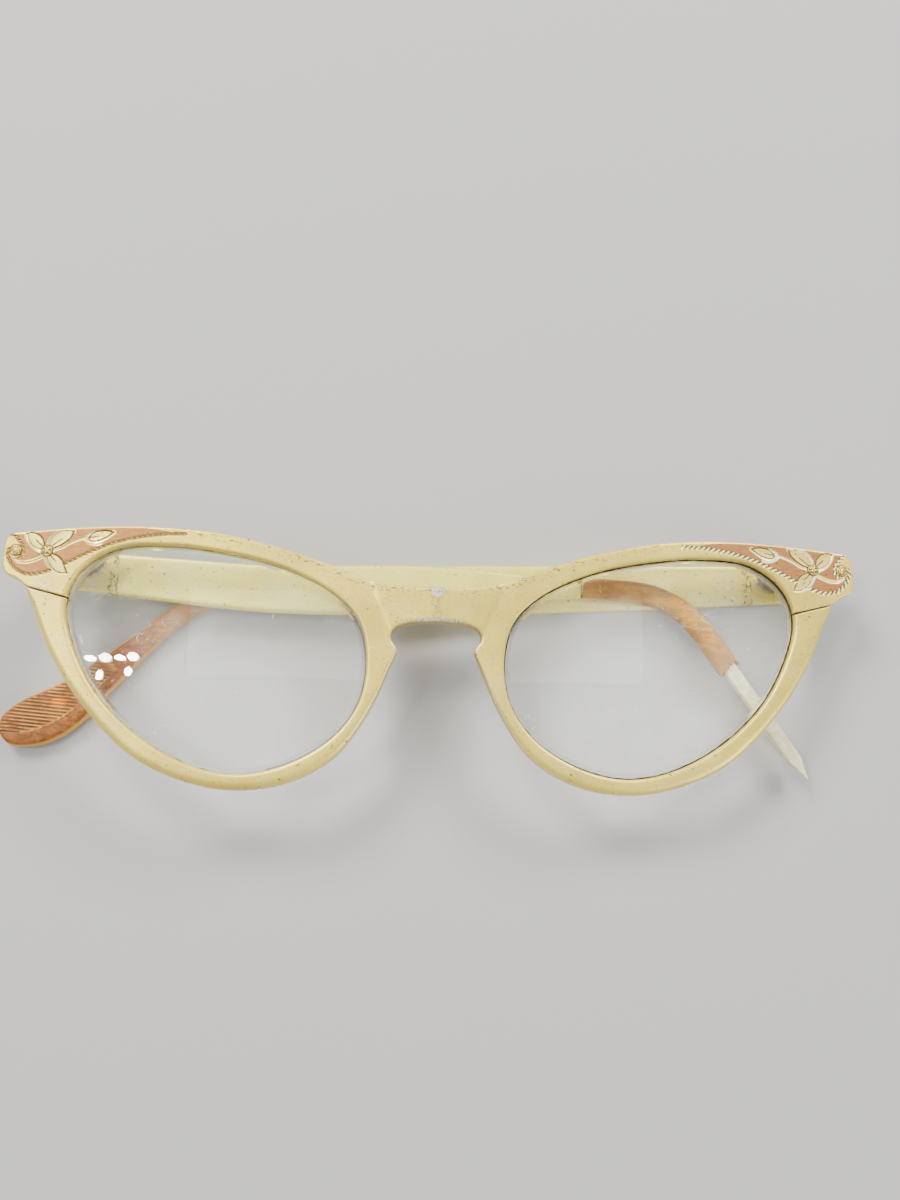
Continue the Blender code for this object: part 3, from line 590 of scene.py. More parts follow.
def relief(points, to_edge, to_lens, to_slit):
    """Height of the front's face before it is engraved."""
    x, y = points.T
    brow = smoothstep(-3.5, 0.5, y)
    bridge = 1 - smoothstep(6.0, 9.5, x)
    nose = (1 - smoothstep(10.0, 17.0, x)) * (1 - brow)
    radius = 1.35 - 0.8 * brow - 0.6 * nose
    drop = 1.15 - 0.7 * brow - 0.45 * nose
    radius = np.where(y < -2, radius + (0.4 - radius) * bridge, radius)
    drop = np.where(y < -2, drop + (0.3 - drop) * bridge, drop)
    height = -rounded_over(to_edge, radius, drop) - rounded_over(to_lens, 0.55, 0.42)
    height -= rounded_over(to_slit, 0.14, 0.12)
    within = BRIDGE_FACET[0] + BRIDGE_FACET[1] * np.minimum(y, 1.5) - x
    height += BRIDGE_STEP * smoothstep(-0.12, 0.12, within)
    height += BRIDGE_RIDGE * np.clip(within / BRIDGE_FACET[0], 0, 1)
    return height


def wear(points):
    """How far the bridge's ridge is rubbed through to bare metal, from 0 to 1."""
    x, y = points.T
    width = 1.1 + 0.5 * smoothstep(-0.8, 0.4, y)
    crest = np.exp(-((x / width) ** 2)) * (0.56 + 0.27 * smoothstep(-1.0, 0.3, y))
    lip = np.exp(-((x / 5.0) ** 2)) * smoothstep(-3.45, -4.15, y) * 0.95
    return np.maximum(crest, lip)


def front_solid():
    """The front as (vertices, faces, values): its two faces, its walls and its hinge seats."""
    edge = front_edge()
    opening = curve_through(APERTURE, EDGE_STEP, closed=True)
    loop, kinds = half_loop(edge, opening)
    normal = outward_normals(loop)
    normal[np.abs(loop[:, 0]) < 1e-6] = (0, 1)
    normal[0] = (0, -1)
    rim_count = np.count_nonzero(kinds != SEAM)
    walls = loop[:rim_count]
    slit = np.array([SLIT_INNER, SLIT_OUTER])

    def decorated(points):
        return (points[:, 0] > DECORATED[0]) & (points[:, 1] > DECORATED[1])

    rows = []
    for inset in EDGE_ROWS:
        row = (loop - normal * inset)[kinds != SEAM]
        keep = inside(row, loop) & (distance_to(row, walls) > inset * 0.93) & (row[:, 0] > 0.1)
        keep &= ~decorated(row) | (inset < 0.1)
        rows.append(row[keep])
    coarse = hexagonal(0.25, 68, -31, 11, PLAIN_GRID)
    coarse = coarse[inside(coarse, loop) & ~decorated(coarse)]
    coarse = coarse[distance_to(coarse, walls) > EDGE_ROWS[-1] + 0.2]
    fine = hexagonal(DECORATED[0], 68, DECORATED[1], 11, FINE_GRID)
    fine = fine[inside(fine, loop)]
    fine = fine[distance_to(fine, walls) > 0.13]
    bottoms = [*ROPES, *[evened(line, 0.15) for petal in PETAL_LINES for line in petal]]
    bottoms += [evened(CARVED[name], 0.15) for name in ("stem", "scroll", "scroll_lower", "calyx")]
    fine = fine[distance_to(fine, *bottoms) > 0.06]
    points = np.vstack([loop, *rows, coarse, fine])
    edges = [(k, (k + 1) % len(loop)) for k in range(len(loop))]
    for line in bottoms:
        edges += [(len(points) + k, len(points) + k + 1) for k in range(len(line) - 1)]
        points = np.vstack([points, line])
    flat, _, triangles, came_from, _, _ = delaunay_2d_cdt([Vector(p) for p in points], edges, [], 1, 1e-5)
    flat = np.array(flat)
    where = {old: new for new, olds in enumerate(came_from) for old in olds}
    rim = [where[k] for k in range(len(loop))]

    to_edge, to_slit = distance_to(flat, edge), distance_to(flat, slit)
    to_lens = distance_to(flat, np.vstack([opening, opening[:1]]))
    to_slit = np.maximum(to_slit - SLIT_WIDTH / 2, 0)
    depth, copper, bright, dirt_and_shade, rope = carve(flat)
    plain = ~decorated(flat)
    depth[plain], copper[plain], bright[plain], dirt_and_shade[plain], rope[plain] = 0, -1, 0, 0, 1
    flat_face = flat
    face = np.column_stack([flat, relief(flat, to_edge, to_lens, to_slit) - depth])

    vertices = [face]
    faces = [tuple(t) for t in triangles]
    count, before = len(face), rim
    for level in range(len(WALLS[OUTER])):
        z, cut = np.array([WALLS[kind][level] for kind in kinds]).T
        ring = loop - normal * cut[:, None]
        vertices.append(np.column_stack([ring, z])[:rim_count])
        row = list(range(count, count + rim_count))
        for k in range(rim_count - 1):
            faces.append((before[k + 1], before[k], row[k], row[k + 1]))
        before, count = row, count + rim_count

    back_loop = ring
    seat = rounded_rectangle(*HINGE_SEAT)
    grid = hexagonal(0.6, 68, -31, 11, 1.3)
    grid = grid[inside(grid, back_loop)]
    grid = grid[distance_to(grid, np.vstack([back_loop, back_loop[:1]]), np.vstack([seat, seat[:1]])) > 0.5]
    points = np.vstack([back_loop, seat, grid])
    first = len(back_loop)
    edges = [(k, (k + 1) % first) for k in range(first)]
    edges += [(first + k, first + (k + 1) % len(seat)) for k in range(len(seat))]
    flat, _, triangles, came_from, _, _ = delaunay_2d_cdt([Vector(p) for p in points], edges, [], 1, 1e-5)
    flat = np.array(flat)
    number = np.full(len(flat), -1)
    floor_number = np.full(len(flat), -1)
    for new, olds in enumerate(came_from):
        if olds and olds[0] < rim_count:
            number[new] = before[olds[0]]
    back = np.column_stack([flat, np.full(len(flat), -THICKNESS)])
    fresh = np.flatnonzero(number < 0)
    number[fresh] = count + np.arange(len(fresh))
    vertices.append(back[fresh])
    count += len(fresh)
    on_seat = distance_to(flat, np.vstack([seat, seat[:1]])) < 1e-4
    floor_points = np.flatnonzero(on_seat | inside(flat, seat))
    floor_number[floor_points] = count + np.arange(len(floor_points))
    vertices.append(np.column_stack([flat[floor_points], np.full(len(floor_points), HINGE_SEAT_FLOOR)]))
    count += len(floor_points)
    for corners in triangles:
        centre = flat[list(corners)].mean(axis=0)
        in_seat = inside(centre[None], seat)[0]
        faces.append(tuple((floor_number if in_seat else number)[list(corners)][::-1]))
    where = {old: new for new, olds in enumerate(came_from) for old in olds}
    ring_ids = [where[first + k] for k in range(len(seat))]
    for k, a in enumerate(ring_ids):
        b = ring_ids[(k + 1) % len(seat)]
        faces.append((number[a], number[b], floor_number[b], floor_number[a]))

    half = np.vstack(vertices)
    extra = len(half) - len(face)
    # The slit's walls get painted shade, standing in for the dark narrow gap.
    slit_wall_shade = np.zeros(extra)
    slit_wall_shade[: rim_count * len(WALLS[OUTER])] = np.tile(kinds[:rim_count] == SLIT, len(WALLS[OUTER]))
    on_face = {
        "copper": (copper, -1), "bright": (bright, 0), "rope": (rope, 1), "edge": (to_edge, 0),
        "worn": (wear(flat_face), 0), "decorated": (smoothstep(39, 44, flat_face[:, 0]), 0),
    }
    values = {key: np.concatenate([known, np.full(extra, rest)]) for key, (known, rest) in on_face.items()}
    values["dirt_and_shade"] = np.concatenate([dirt_and_shade, slit_wall_shade])
    used = np.zeros(len(half), bool)
    for corners in faces:
        used[list(corners)] = True
    order = np.cumsum(used) - 1
    half, faces = half[used], [tuple(order[list(corners)]) for corners in faces]
    values = {key: numbers[used] for key, numbers in values.items()}
    shared = np.abs(half[:, 0]) < 1e-6
    twin = np.where(shared, np.arange(len(half)), len(half) + np.cumsum(~shared) - 1)
    whole = np.vstack([half, half[~shared] * (-1, 1, 1)])
    faces += [tuple(twin[list(corners)][::-1]) for corners in faces]
    return whole, faces, {key: np.concatenate([n, n[~shared]]) for key, n in values.items()}


# ---- Lens, hinge, rivet and pad solids ------------------------------------------------------------
def lens_solid():
    """A meniscus lens with spherical faces and a bevelled edge, for the wearer's left."""
    opening = curve_through(APERTURE, 0.5, closed=True)
    normal = outward_normals(opening)

    def ring(out, share, back):
        loop = LENS_CENTRE + (opening + normal * out - LENS_CENTRE) * share
        sag = np.sum((loop - LENS_CENTRE) ** 2, axis=1) / (2 * LENS_RADIUS)
        return np.column_stack([loop, LENS_TOP - sag - LENS_THICKNESS * back])

    shares = (0.05, 0.18, 0.33, 0.47, 0.6, 0.71, 0.8, 0.87, 0.93, 0.97, 1.0)
    out, apex = LENS_BEVEL
    front = [ring(LENS_FLAT, share, 0) for share in shares]
    back = [ring(LENS_BACK_FLAT, share, 1) for share in shares[::-1]]
    edge = [ring(LENS_FLAT + 0.04, 1, 0.03)]
    bevel = ((-0.3, -1.05), (-0.08, -1.28), (out - 0.12, apex + 0.1), (out, apex), (out - 0.12, apex - 0.1))
    for place, z in bevel:
        edge.append(np.column_stack([opening + normal * place, np.full(len(opening), z)]))
    count = len(opening)
    ground = np.repeat([0] * len(front) + [1] * len(edge) + [0] * len(back) + [0], count)[: -count + 2]
    seam = np.repeat([0] * len(front) + [0, 0.35, 1, 1, 1, 1] + [0] * len(back) + [0], count)[: -count + 2]
    face = np.repeat([1] * len(front) + [0] * (len(edge) + len(back)) + [0], count)[: -count + 2]
    return *tube([*front, *edge, *back]), {"ground": ground, "seam": seam, "face": face}


def front_hinge_solid():
    x0, x1, y0, y1 = FRONT_LEAF
    leaf = plate(rounded_rectangle(x0, x1, y0, y1, 0.8), -THICKNESS, -THICKNESS + FRONT_LEAF_THICKNESS)
    solids = [leaf]
    half = KNUCKLE_RADIUS - 0.02
    for low, high in OUTER_KNUCKLES:
        solids.append(barrel(HINGE_X, HINGE_Z, low, high))
        neck = brick(HINGE_X - half, HINGE_X + half, low + 0.05, high - 0.05, HINGE_Z, -THICKNESS + 0.4)
        solids.append(neck)
    bore = turned([(KNUCKLE_BORE, y0 - 1), (KNUCKLE_BORE, y1 + 1)], (HINGE_X, 0, HINGE_Z), (0, 1, 0))
    return united(solids, [bore])


def barrel(x, z, low, high, soft=0.1):
    profile = [(KNUCKLE_RADIUS - soft, low), (KNUCKLE_RADIUS, low + soft)]
    profile += [(KNUCKLE_RADIUS, high - soft), (KNUCKLE_RADIUS - soft, high)]
    return turned(profile, (x, 0, z), (0, 1, 0), 48)


def temple_leaf_solid():
    """The leaf with a round end and the middle knuckle, in the temple's frame."""
    low = BAND_FACES[1] + 0.06
    high = low + TEMPLE_LEAF_THICKNESS
    start, end = TEMPLE_LEAF
    half = TEMPLE_LEAF_HALF
    angles = np.radians(np.linspace(-90, 90, 25))
    loop = np.column_stack([end - half + half * np.cos(angles), HINGE_Y + half * np.sin(angles)])
    loop = np.vstack([[(start, HINGE_Y - half)], loop, [(start, HINGE_Y + half)]])
    y0, y1 = MIDDLE_KNUCKLE
    web = brick(0, start + 0.6, y0 + 0.04, y1 - 0.04, low + 0.03, high - 0.03)
    bore = turned([(KNUCKLE_BORE, y0 - 1), (KNUCKLE_BORE, y1 + 1)], (0, 0, 0), (0, 1, 0))
    return united([plate(loop, low, high, 0.12), barrel(0, 0, y0, y1), web], [bore])


def screw_solid(place, axis, shaft, head, length, height):
    """A slotted cheese-head screw whose head sits at place and whose shaft runs against axis."""
    profile = [(shaft - 0.1, -length), (shaft, 0.1 - length), (shaft, 0), (head - 0.06, 0), (head, 0.06)]
    profile += [(head, height * 0.62), (head * 0.94, height * 0.8)]
    profile += [(head * 0.8, height * 0.93), (head * 0.5, height)]
    turn = np.array(Vector(axis).to_track_quat("Z", "Y").to_matrix())
    vertices, faces = brick(-head - 1, head + 1, -0.14, 0.14, height * 0.5, height + 1)
    slot = (vertices @ turn.T + np.array(place), faces)
    return united([turned(profile, place, axis, 48)], [slot])


def engraved_rivet(place, radius, pattern, tail):
    """A rivet whose domed head carries an engraved pattern(radius share, angle) in millimetres."""
    segments = 72
    angle = 2 * math.pi * np.arange(segments) / segments
    rings = []
    shank = [(0.3, tail - 0.12), (0.62, tail - 0.06), (0.7, tail), (0.5, tail), (0.5, -0.2), (radius, -0.2)]
    for r, z in shank:
        rings.append(np.column_stack([r * np.cos(angle), r * np.sin(angle), np.full(segments, z)]))
    shares = (1.0, 1.0, 0.985, 0.95, 0.9, 0.84, 0.78, 0.72, 0.66, 0.58, 0.5, 0.42, 0.34, 0.26, 0.18, 0.1,
              0.03)
    for share in shares:
        r = radius * share
        dome = 0.1 + 0.22 * math.sqrt(max(0.0, 1 - share**2)) if len(rings) > 6 else 0.04
        rings.append(np.column_stack([r * np.cos(angle), r * np.sin(angle), dome - pattern(share, angle)]))
    vertices, faces = tube(rings)
    return vertices + (*place, 0), faces


def flower_centre(share, angle):
    """A ring groove, and five beads round a dimple."""
    groove = 0.07 * np.exp(-(((share - 0.8) / 0.08) ** 2))
    beads = 0.05 * math.exp(-(((share - 0.5) / 0.2) ** 2)) * (1 - np.cos(5 * angle + 0.6))
    return groove + beads + 0.07 * math.exp(-((share / 0.18) ** 2))


def rosette(share, angle):
    """A ring groove, and a scored dome."""
    groove = 0.09 * np.exp(-(((share - 0.76) / 0.07) ** 2))
    scoring = 0.03 * (share < 0.66) * (1 - np.cos(7 * angle + 9 * share)) * min(1.0, share / 0.3)
    return groove + scoring


def pad_place(share):
    start, end = np.array(PAD_LINE)
    return start + (end - start) * share


def pad_solid():
    start, end = np.array(PAD_LINE)
    along = unit(end - start)
    across = np.array((-along[1], along[0]))
    half_length = np.linalg.norm(end - start) / 2 + 1.3
    angle = 2 * math.pi * np.arange(56) / 56
    side = np.sign(np.sin(angle)) * np.abs(np.sin(angle)) ** 0.8
    rings = []
    for z, lean, size in PAD_LAYERS:
        reach = half_length - (1 - size) * 1.6
        loop = (start + end) / 2 + np.outer(reach * np.cos(angle), along)
        loop += np.outer(PAD_HALF_WIDTH * size * side, across) + (lean, 0)
        rings.append(np.column_stack([loop, np.full(len(loop), z)]))
    return tube(rings)


def lug_solids():
    """The two lugs behind the rim that the clamp screw draws together across the slit."""
    x0, x1, y0, y1 = RIM_LUG
    bore = turned([(0.56, y0 - 2), (0.56, y1 + 2)], (RIM_SCREW[0], 0, RIM_SCREW[1]), (0, 1, 0))
    made = []
    for half in (-1, 1):
        def cut(x):
            along = (x - SLIT_INNER[0]) / SLIT_RUN[0]
            return (SLIT_INNER + SLIT_RUN * along + SLIT_NORMAL * half * SLIT_WIDTH / 2)[1]
        end = y0 if half < 0 else y1
        loop = np.array([(x0, end), (x1, end), (x1, cut(x1)), (x0, cut(x0))])
        loop = loop if half < 0 else loop[::-1]
        outline = evened(np.vstack([loop, loop[:1]]), 0.6)[:-1]
        made.append(united([plate(outline, -RIM_LUG_DEPTH, -2.5, 0.12)], [bore]))
    return made


# ---- Temple solids --------------------------------------------------------------------------------
def section(half, low, high, corner, flats, crown=0.0, arcs=5):
    """A rounded section as (across, t) pairs, with its long faces crowned a little."""
    corner = min(corner, half * 0.98, (high - low) * 0.49)
    loop = rounded_rectangle(-half, half, low, high, corner, arcs)
    groups = np.split(loop, 4)
    points = []
    for k, group in enumerate(groups):
        points.append(group)
        count = flats if k % 2 else 2
        nxt = groups[(k + 1) % 4][0]
        points.append(group[-1] + (nxt - group[-1]) * (np.arange(1, count) / count)[:, None])
    loop = np.vstack(points)
    rise = crown * ((loop[:, 0] / half) ** 2)
    middle = (low + high) / 2
    loop[:, 1] = np.where(loop[:, 1] > middle, loop[:, 1] - rise, loop[:, 1] + rise)
    return loop


def loft(stations, span, corner, flats=4, crown=0.0, arcs=5):
    """Rings square to a path of (s, y, half width) stations."""
    path = np.asarray(stations, float)
    run = unit(np.gradient(path[:, :2], axis=0))
    low, high = span
    middle = (low + high) / 2
    rings = []
    for (s, y, half), (ds, dy) in zip(path, run):
        thin = min(1.0, 0.25 + 0.75 * half / (0.5 * (high - low)))
        faces = middle + (low - middle) * thin, middle + (high - middle) * thin
        loop = section(half, *faces, corner, flats, crown, arcs)
        rings.append(np.column_stack([s - dy * loop[:, 0], y + ds * loop[:, 0], loop[:, 1]]))
    return rings


def eased_ends(rings, inset=0.12):
    """Rings with a small softened edge added at both ends."""
    made = list(rings)
    for end, nxt in ((0, 1), (-1, -2)):
        middle = made[end].mean(axis=0)
        step = unit(made[nxt].mean(axis=0) - middle) * inset
        last = middle + (made[end] - middle) * (1 - inset / 0.9)
        made[end] = made[end] + step
        made.insert(0 if end == 0 else len(made), last)
    return made


def band_solid(side):
    stations = curve_through(BAND[side], 1.0)
    rings = eased_ends(loft(stations, BAND_FACES, 0.55, 14, crown=0.08))
    for ring in rings:
        s = ring[:, 0].mean()
        neck = RING_GROOVE[1] * math.exp(-(((s - RING_GROOVE[0]) / 0.28) ** 2))
        middle = ring.mean(axis=0)
        ring[:, 1:] = middle[1:] + (ring[:, 1:] - middle[1:]) * (1 - neck)
    return tube(rings)


def core_path(side, extra=0.0):
    line = curve_through(CORE[side], 0.6)
    line = line[line[:, 0] > BAND[side][-1][0] - 0.3]
    return np.column_stack([line, np.full(len(line), CORE_HALF_WIDTH + extra)])


def core_solid(side):
    path = core_path(side)
    if side == "left":
        return tube(loft(path, CORE_FACES, 0.6, 3))
    end = path[-1, :2]
    body = path[np.linalg.norm(path[:, :2] - end, axis=1) > CORE_POINT]
    run = unit(end - body[-1, :2])
    taper = ((CORE_POINT - 0.3, 1.08), (2.4, 0.72), (1.1, 0.36), (0.35, 0.16), (0, 0.06))
    tip = np.array([[*(end - run * back), half] for back, half in taper])
    rings = loft(np.vstack([body, tip]), CORE_FACES, 0.28, 3)
    middle = sum(CORE_FACES) / 2
    for ring, (_, _, half) in zip(rings[len(body):], tip):
        flat = min(1.0, half / CORE_HALF_WIDTH)
        ring[:, 2] = middle + (ring[:, 2] - middle) * flat
    return tube(rings)


def broken_edge(count):
    """How far the broken end of the cover stands out round its section."""
    turn = 2 * math.pi * np.arange(count) / count
    coarse = 0.35 * np.sin(turn * 2 + 0.4) + 0.22 * np.sin(turn * 7)
    return coarse + 0.14 * np.sin(turn * 17 + 1) + 0.08 * np.sin(turn * 29)


def cover_solid(side):
    """The plastic end cover, bored to slide over the core. The left one widens into a ribbed paddle."""
    left = side == "left"
    line = curve_through(COVER[side], 0.22 if left else 0.5)
    flats, arcs = (56, 14) if left else (8, 5)
    outside = loft(line, COVER_FACES, 1.0 if left else 1.25, flats, 0.12 if left else 0.0, arcs)
    low, high = CORE_FACES
    bore = core_path(side, COVER_GAP)
    bore = bore[(bore[:, 0] > line[0, 0]) & (left | (bore[:, 0] < line[-1, 0]))]
    bore[0, :2] = line[0, :2]
    if not left:
        bore[-1, :2] = line[-1, :2]
    inside_rings = loft(bore, (low - COVER_GAP, high + COVER_GAP), 0.7, flats, arcs=arcs)
    if left:
        ribs = [add_ribs(ring) for ring in outside]
        plain = np.zeros(sum(map(len, inside_rings)))
        return *tube([*inside_rings[::-1], *outside]), np.concatenate([plain, *ribs, [0, 0]])
    run = unit(line[-1, :2] - line[-2, :2])
    push = np.outer(broken_edge(len(outside[-1])), (*run, 0))
    for rings in (outside, inside_rings):
        rings[-1] = rings[-1] + push
        rings[-2] = rings[-2] + push * 0.4
    vertices, faces = tube([*inside_rings[::-1], *outside], close_ends=False)
    return vertices, faces, np.zeros(len(vertices))


def add_ribs(ring):
    """Cuts fine ribs along the upper part of the paddle's face; gives how deep it cut, from 0 to 1."""
    middle = ring.mean(axis=0)
    half = np.ptp(ring[:, 1]) / 2
    top = smoothstep(-1.45, -1.15, ring[:, 2]) * smoothstep(112.5, 114.5, middle[0])
    place = (ring[:, 1] - middle[1]) / half
    upper = smoothstep(-0.42, -0.28, place)
    wave = 0.5 - 0.5 * np.cos(2 * math.pi * (ring[:, 1] - 0.09 * ring[:, 0]) / RIB_PITCH)
    ring[:, 2] -= RIB_HEIGHT * top * upper * wave
    return top * upper * wave


# ---- Materials ------------------------------------------------------------------------------------
def add(tree, kind, inputs=None, **settings):
    """A shader node with its settings and its inputs, which are values or other nodes' sockets."""
    node = tree.nodes.new("ShaderNode" + kind)
    for key, value in settings.items():
        setattr(node, key, value)
    for key, value in (inputs or {}).items():
        if isinstance(value, bpy.types.NodeSocket):
            tree.links.new(value, node.inputs[key])
        else:
            node.inputs[key].default_value = value
    return node


def principled(name, **values):
    """A new material, its node tree, its Principled node and rest coordinates in millimetres."""
    made = bpy.data.materials.new(name)
    made.use_nodes = True
    tree = made.node_tree
    shader = tree.nodes["Principled BSDF"]
    for key, value in values.items():
        shader.inputs[key.replace("_", " ")].default_value = value
    where = add(tree, "TexCoord").outputs["Object"]
    scaled = add(tree, "VectorMath", {0: where, 3: 1 / MM}, operation="SCALE").outputs[0]
    return made, tree, shader, scaled


def noise(tree, where, scale, detail=2.0, roughness=0.5, stretch=None, turn=(0, 0, 0), offset=(0, 0, 0)):
    if stretch or any(offset):
        inputs = {"Vector": where, "Scale": stretch or (1, 1, 1), "Rotation": turn, "Location": offset}
        where = add(tree, "Mapping", inputs).outputs[0]
    inputs = {"Vector": where, "Scale": scale, "Detail": detail, "Roughness": roughness}
    return add(tree, "TexNoise", inputs).outputs[0]


def ramp(tree, value, low, high):
    """0 below low, 1 above high, and a smooth step between; low may be the greater."""
    inputs = {0: value, 1: min(low, high), 2: max(low, high), 3: float(low > high), 4: float(low < high)}
    return add(tree, "MapRange", inputs, interpolation_type="SMOOTHSTEP").outputs[0]


def mix(tree, share, first, second):
    """A colour from first to second by share."""
    values = [(*v, 1.0) if isinstance(v, tuple) else v for v in (first, second)]
    return add(tree, "Mix", {0: share, 6: values[0], 7: values[1]}, data_type="RGBA").outputs[2]


def calc(tree, operation, first, second=0.0, clamp=False):
    return add(tree, "Math", {0: first, 1: second}, operation=operation, use_clamp=clamp).outputs[0]


def times(tree, first, second):
    return calc(tree, "MULTIPLY", first, second)


def plus(tree, first, second, clamp=False):
    return calc(tree, "ADD", first, second, clamp)


def minus(tree, first, second, clamp=False):
    return calc(tree, "SUBTRACT", first, second, clamp)


def larger(tree, first, second):
    return calc(tree, "MAXIMUM", first, second)


def kept(tree, key):
    """A vertex value that the mesh carries."""
    return add(tree, "Attribute", attribute_name=key).outputs["Fac"]


def bump(tree, height, distance, strength=1.0, normal=None):
    inputs = {"Height": height, "Distance": distance * MM, "Strength": strength}
    if normal:
        inputs["Normal"] = normal
    return add(tree, "Bump", inputs).outputs[0]


def link(tree, **sockets):
    shader = tree.nodes["Principled BSDF"]
    for key, socket in sockets.items():
        tree.links.new(socket, shader.inputs[key.replace("_", " ")])


def scratches(tree, where, turn, density, width=0.02):
    """Fine straight hairlines in one direction."""
    field = noise(tree, where, 1.0, 1.0, 0.4, stretch=(0.12, 3.2, 1.0), turn=(0, 0, turn))
    line = calc(tree, "ABSOLUTE", minus(tree, field, 0.5))
    patchy = ramp(tree, noise(tree, where, 0.16, 1.0), density, density + 0.06)
    return times(tree, ramp(tree, line, width, 0.0), patchy)


GOLD_DEEP = (0.76, 0.57, 0.11)
GOLD_PALE = (1.0, 0.80, 0.15)
# The temples' gold: their own tone, painted paler than the front's to stand in for more light.
TEMPLE_DEEP_LIT = (0.86, 0.73, 0.14)
TEMPLE_PALE_LIT = (1.0, 0.93, 0.22)
BARE_METAL = (0.86, 0.84, 0.79)
COPPER = (0.38, 0.16, 0.045)
COPPER_PALE = (0.50, 0.235, 0.075)
# Dark for specks, pits and grime, and also for painted shade on the front.
GRIME_AND_SHADE = (0.045, 0.026, 0.012)
# Painted shade on the front's walls.
WALL_PAINTED_SHADE = (0.34, 0.24, 0.09)
CORE_DEEP, CORE_PALE, CORE_STAIN = (0.74, 0.70, 0.40), (1.0, 0.96, 0.64), (0.36, 0.33, 0.26)
STEEL_DEEP, STEEL_PALE, RUST = (0.44, 0.43, 0.41), (0.72, 0.71, 0.68), (0.16, 0.10, 0.06)
RIVET_DEEP, RIVET_PALE, RIVET_HOLLOW = (0.70, 0.49, 0.09), (1.0, 0.79, 0.24), (0.09, 0.05, 0.015)
# The last is the dark line at the lens's edge: grime and painted shade.
GLASS_CLEAR, GLASS_DUSTY, GLASS_GRIME_AND_SHADE = (0.985, 0.99, 0.99), (0.62, 0.62, 0.58), (0.035, 0.028, 0.02)
GLASS_THROUGH = (0.93, 0.94, 0.94, 1)
BROWN_DEEP, BROWN_PALE = (0.15, 0.05, 0.014), (0.33, 0.12, 0.032)
HONEY_DEEP, HONEY_PALE = (0.26, 0.105, 0.003), (0.46, 0.23, 0.008)
AMBER_CHALK, AMBER_GLOW = (0.56, 0.32, 0.09), (0.70, 0.20, 0.0)
# Painted shade in the rib grooves, and a painted highlight on their crests.
RIB_SHADE, RIB_CREST_HIGHLIGHT = (0.06, 0.022, 0.01), (0.84, 0.44, 0.09)
PAD_DEEP, PAD_PALE = (0.86, 0.80, 0.64), (0.94, 0.91, 0.82)
FLOOR_TONE = (0.45, 0.45, 0.445, 1)
# Cut metal: the first is painted near white as a painted highlight, the second is its cream colour.
CUT_PAINTED_HIGHLIGHT = (1.0, 0.93, 0.66)
CREAM_CUT = (1.0, 0.82, 0.34)
# The rope border's painted shade, for the wearer's right.
ROPE_PAINTED_SHADE = (0.34, 0.12, 0.02)


def gold_base(name, deep, pale):
    """Satin anodised aluminium: its tone, grain, specks and hairlines, and the sockets so far."""
    made, tree, _, where = principled(name, Metallic=0.6, Roughness=0.42)
    cloud = noise(tree, where, 0.09, 3.0, 0.55)
    mottle = noise(tree, where, 2.6, 4.0, 0.65)
    tone = plus(tree, times(tree, cloud, 0.75), times(tree, mottle, 0.4))
    colour = mix(tree, ramp(tree, tone, 0.36, 0.78), deep, pale)
    specks = ramp(tree, noise(tree, where, 1.9, 2.0, 0.5, offset=(7, 3, 1)), 0.68, 0.72)
    patches = ramp(tree, noise(tree, where, 0.22, 2.0), 0.4, 0.62)
    fine = ramp(tree, noise(tree, where, 4.5, 2.0), 0.66, 0.72)
    specks = larger(tree, specks, times(tree, times(tree, fine, patches), 0.7))
    hair = larger(tree, scratches(tree, where, 0.5, 0.52), scratches(tree, where, -0.9, 0.56))
    return made, tree, where, colour, specks, hair, mottle


def finish_metal(tree, where, colour, roughness, pits, relief):
    """Links the metal's colour, roughness and the fine bump of its grain and pits."""
    grain = noise(tree, where, 14.0, 3.0, 0.7)
    height = minus(tree, times(tree, grain, 0.3), times(tree, pits, 1.0))
    height = plus(tree, height, relief)
    rough = plus(tree, roughness, times(tree, minus(tree, grain, 0.5), 0.14))
    link(tree, Base_Color=colour, Roughness=rough, Normal=bump(tree, height, 0.03, 0.55))


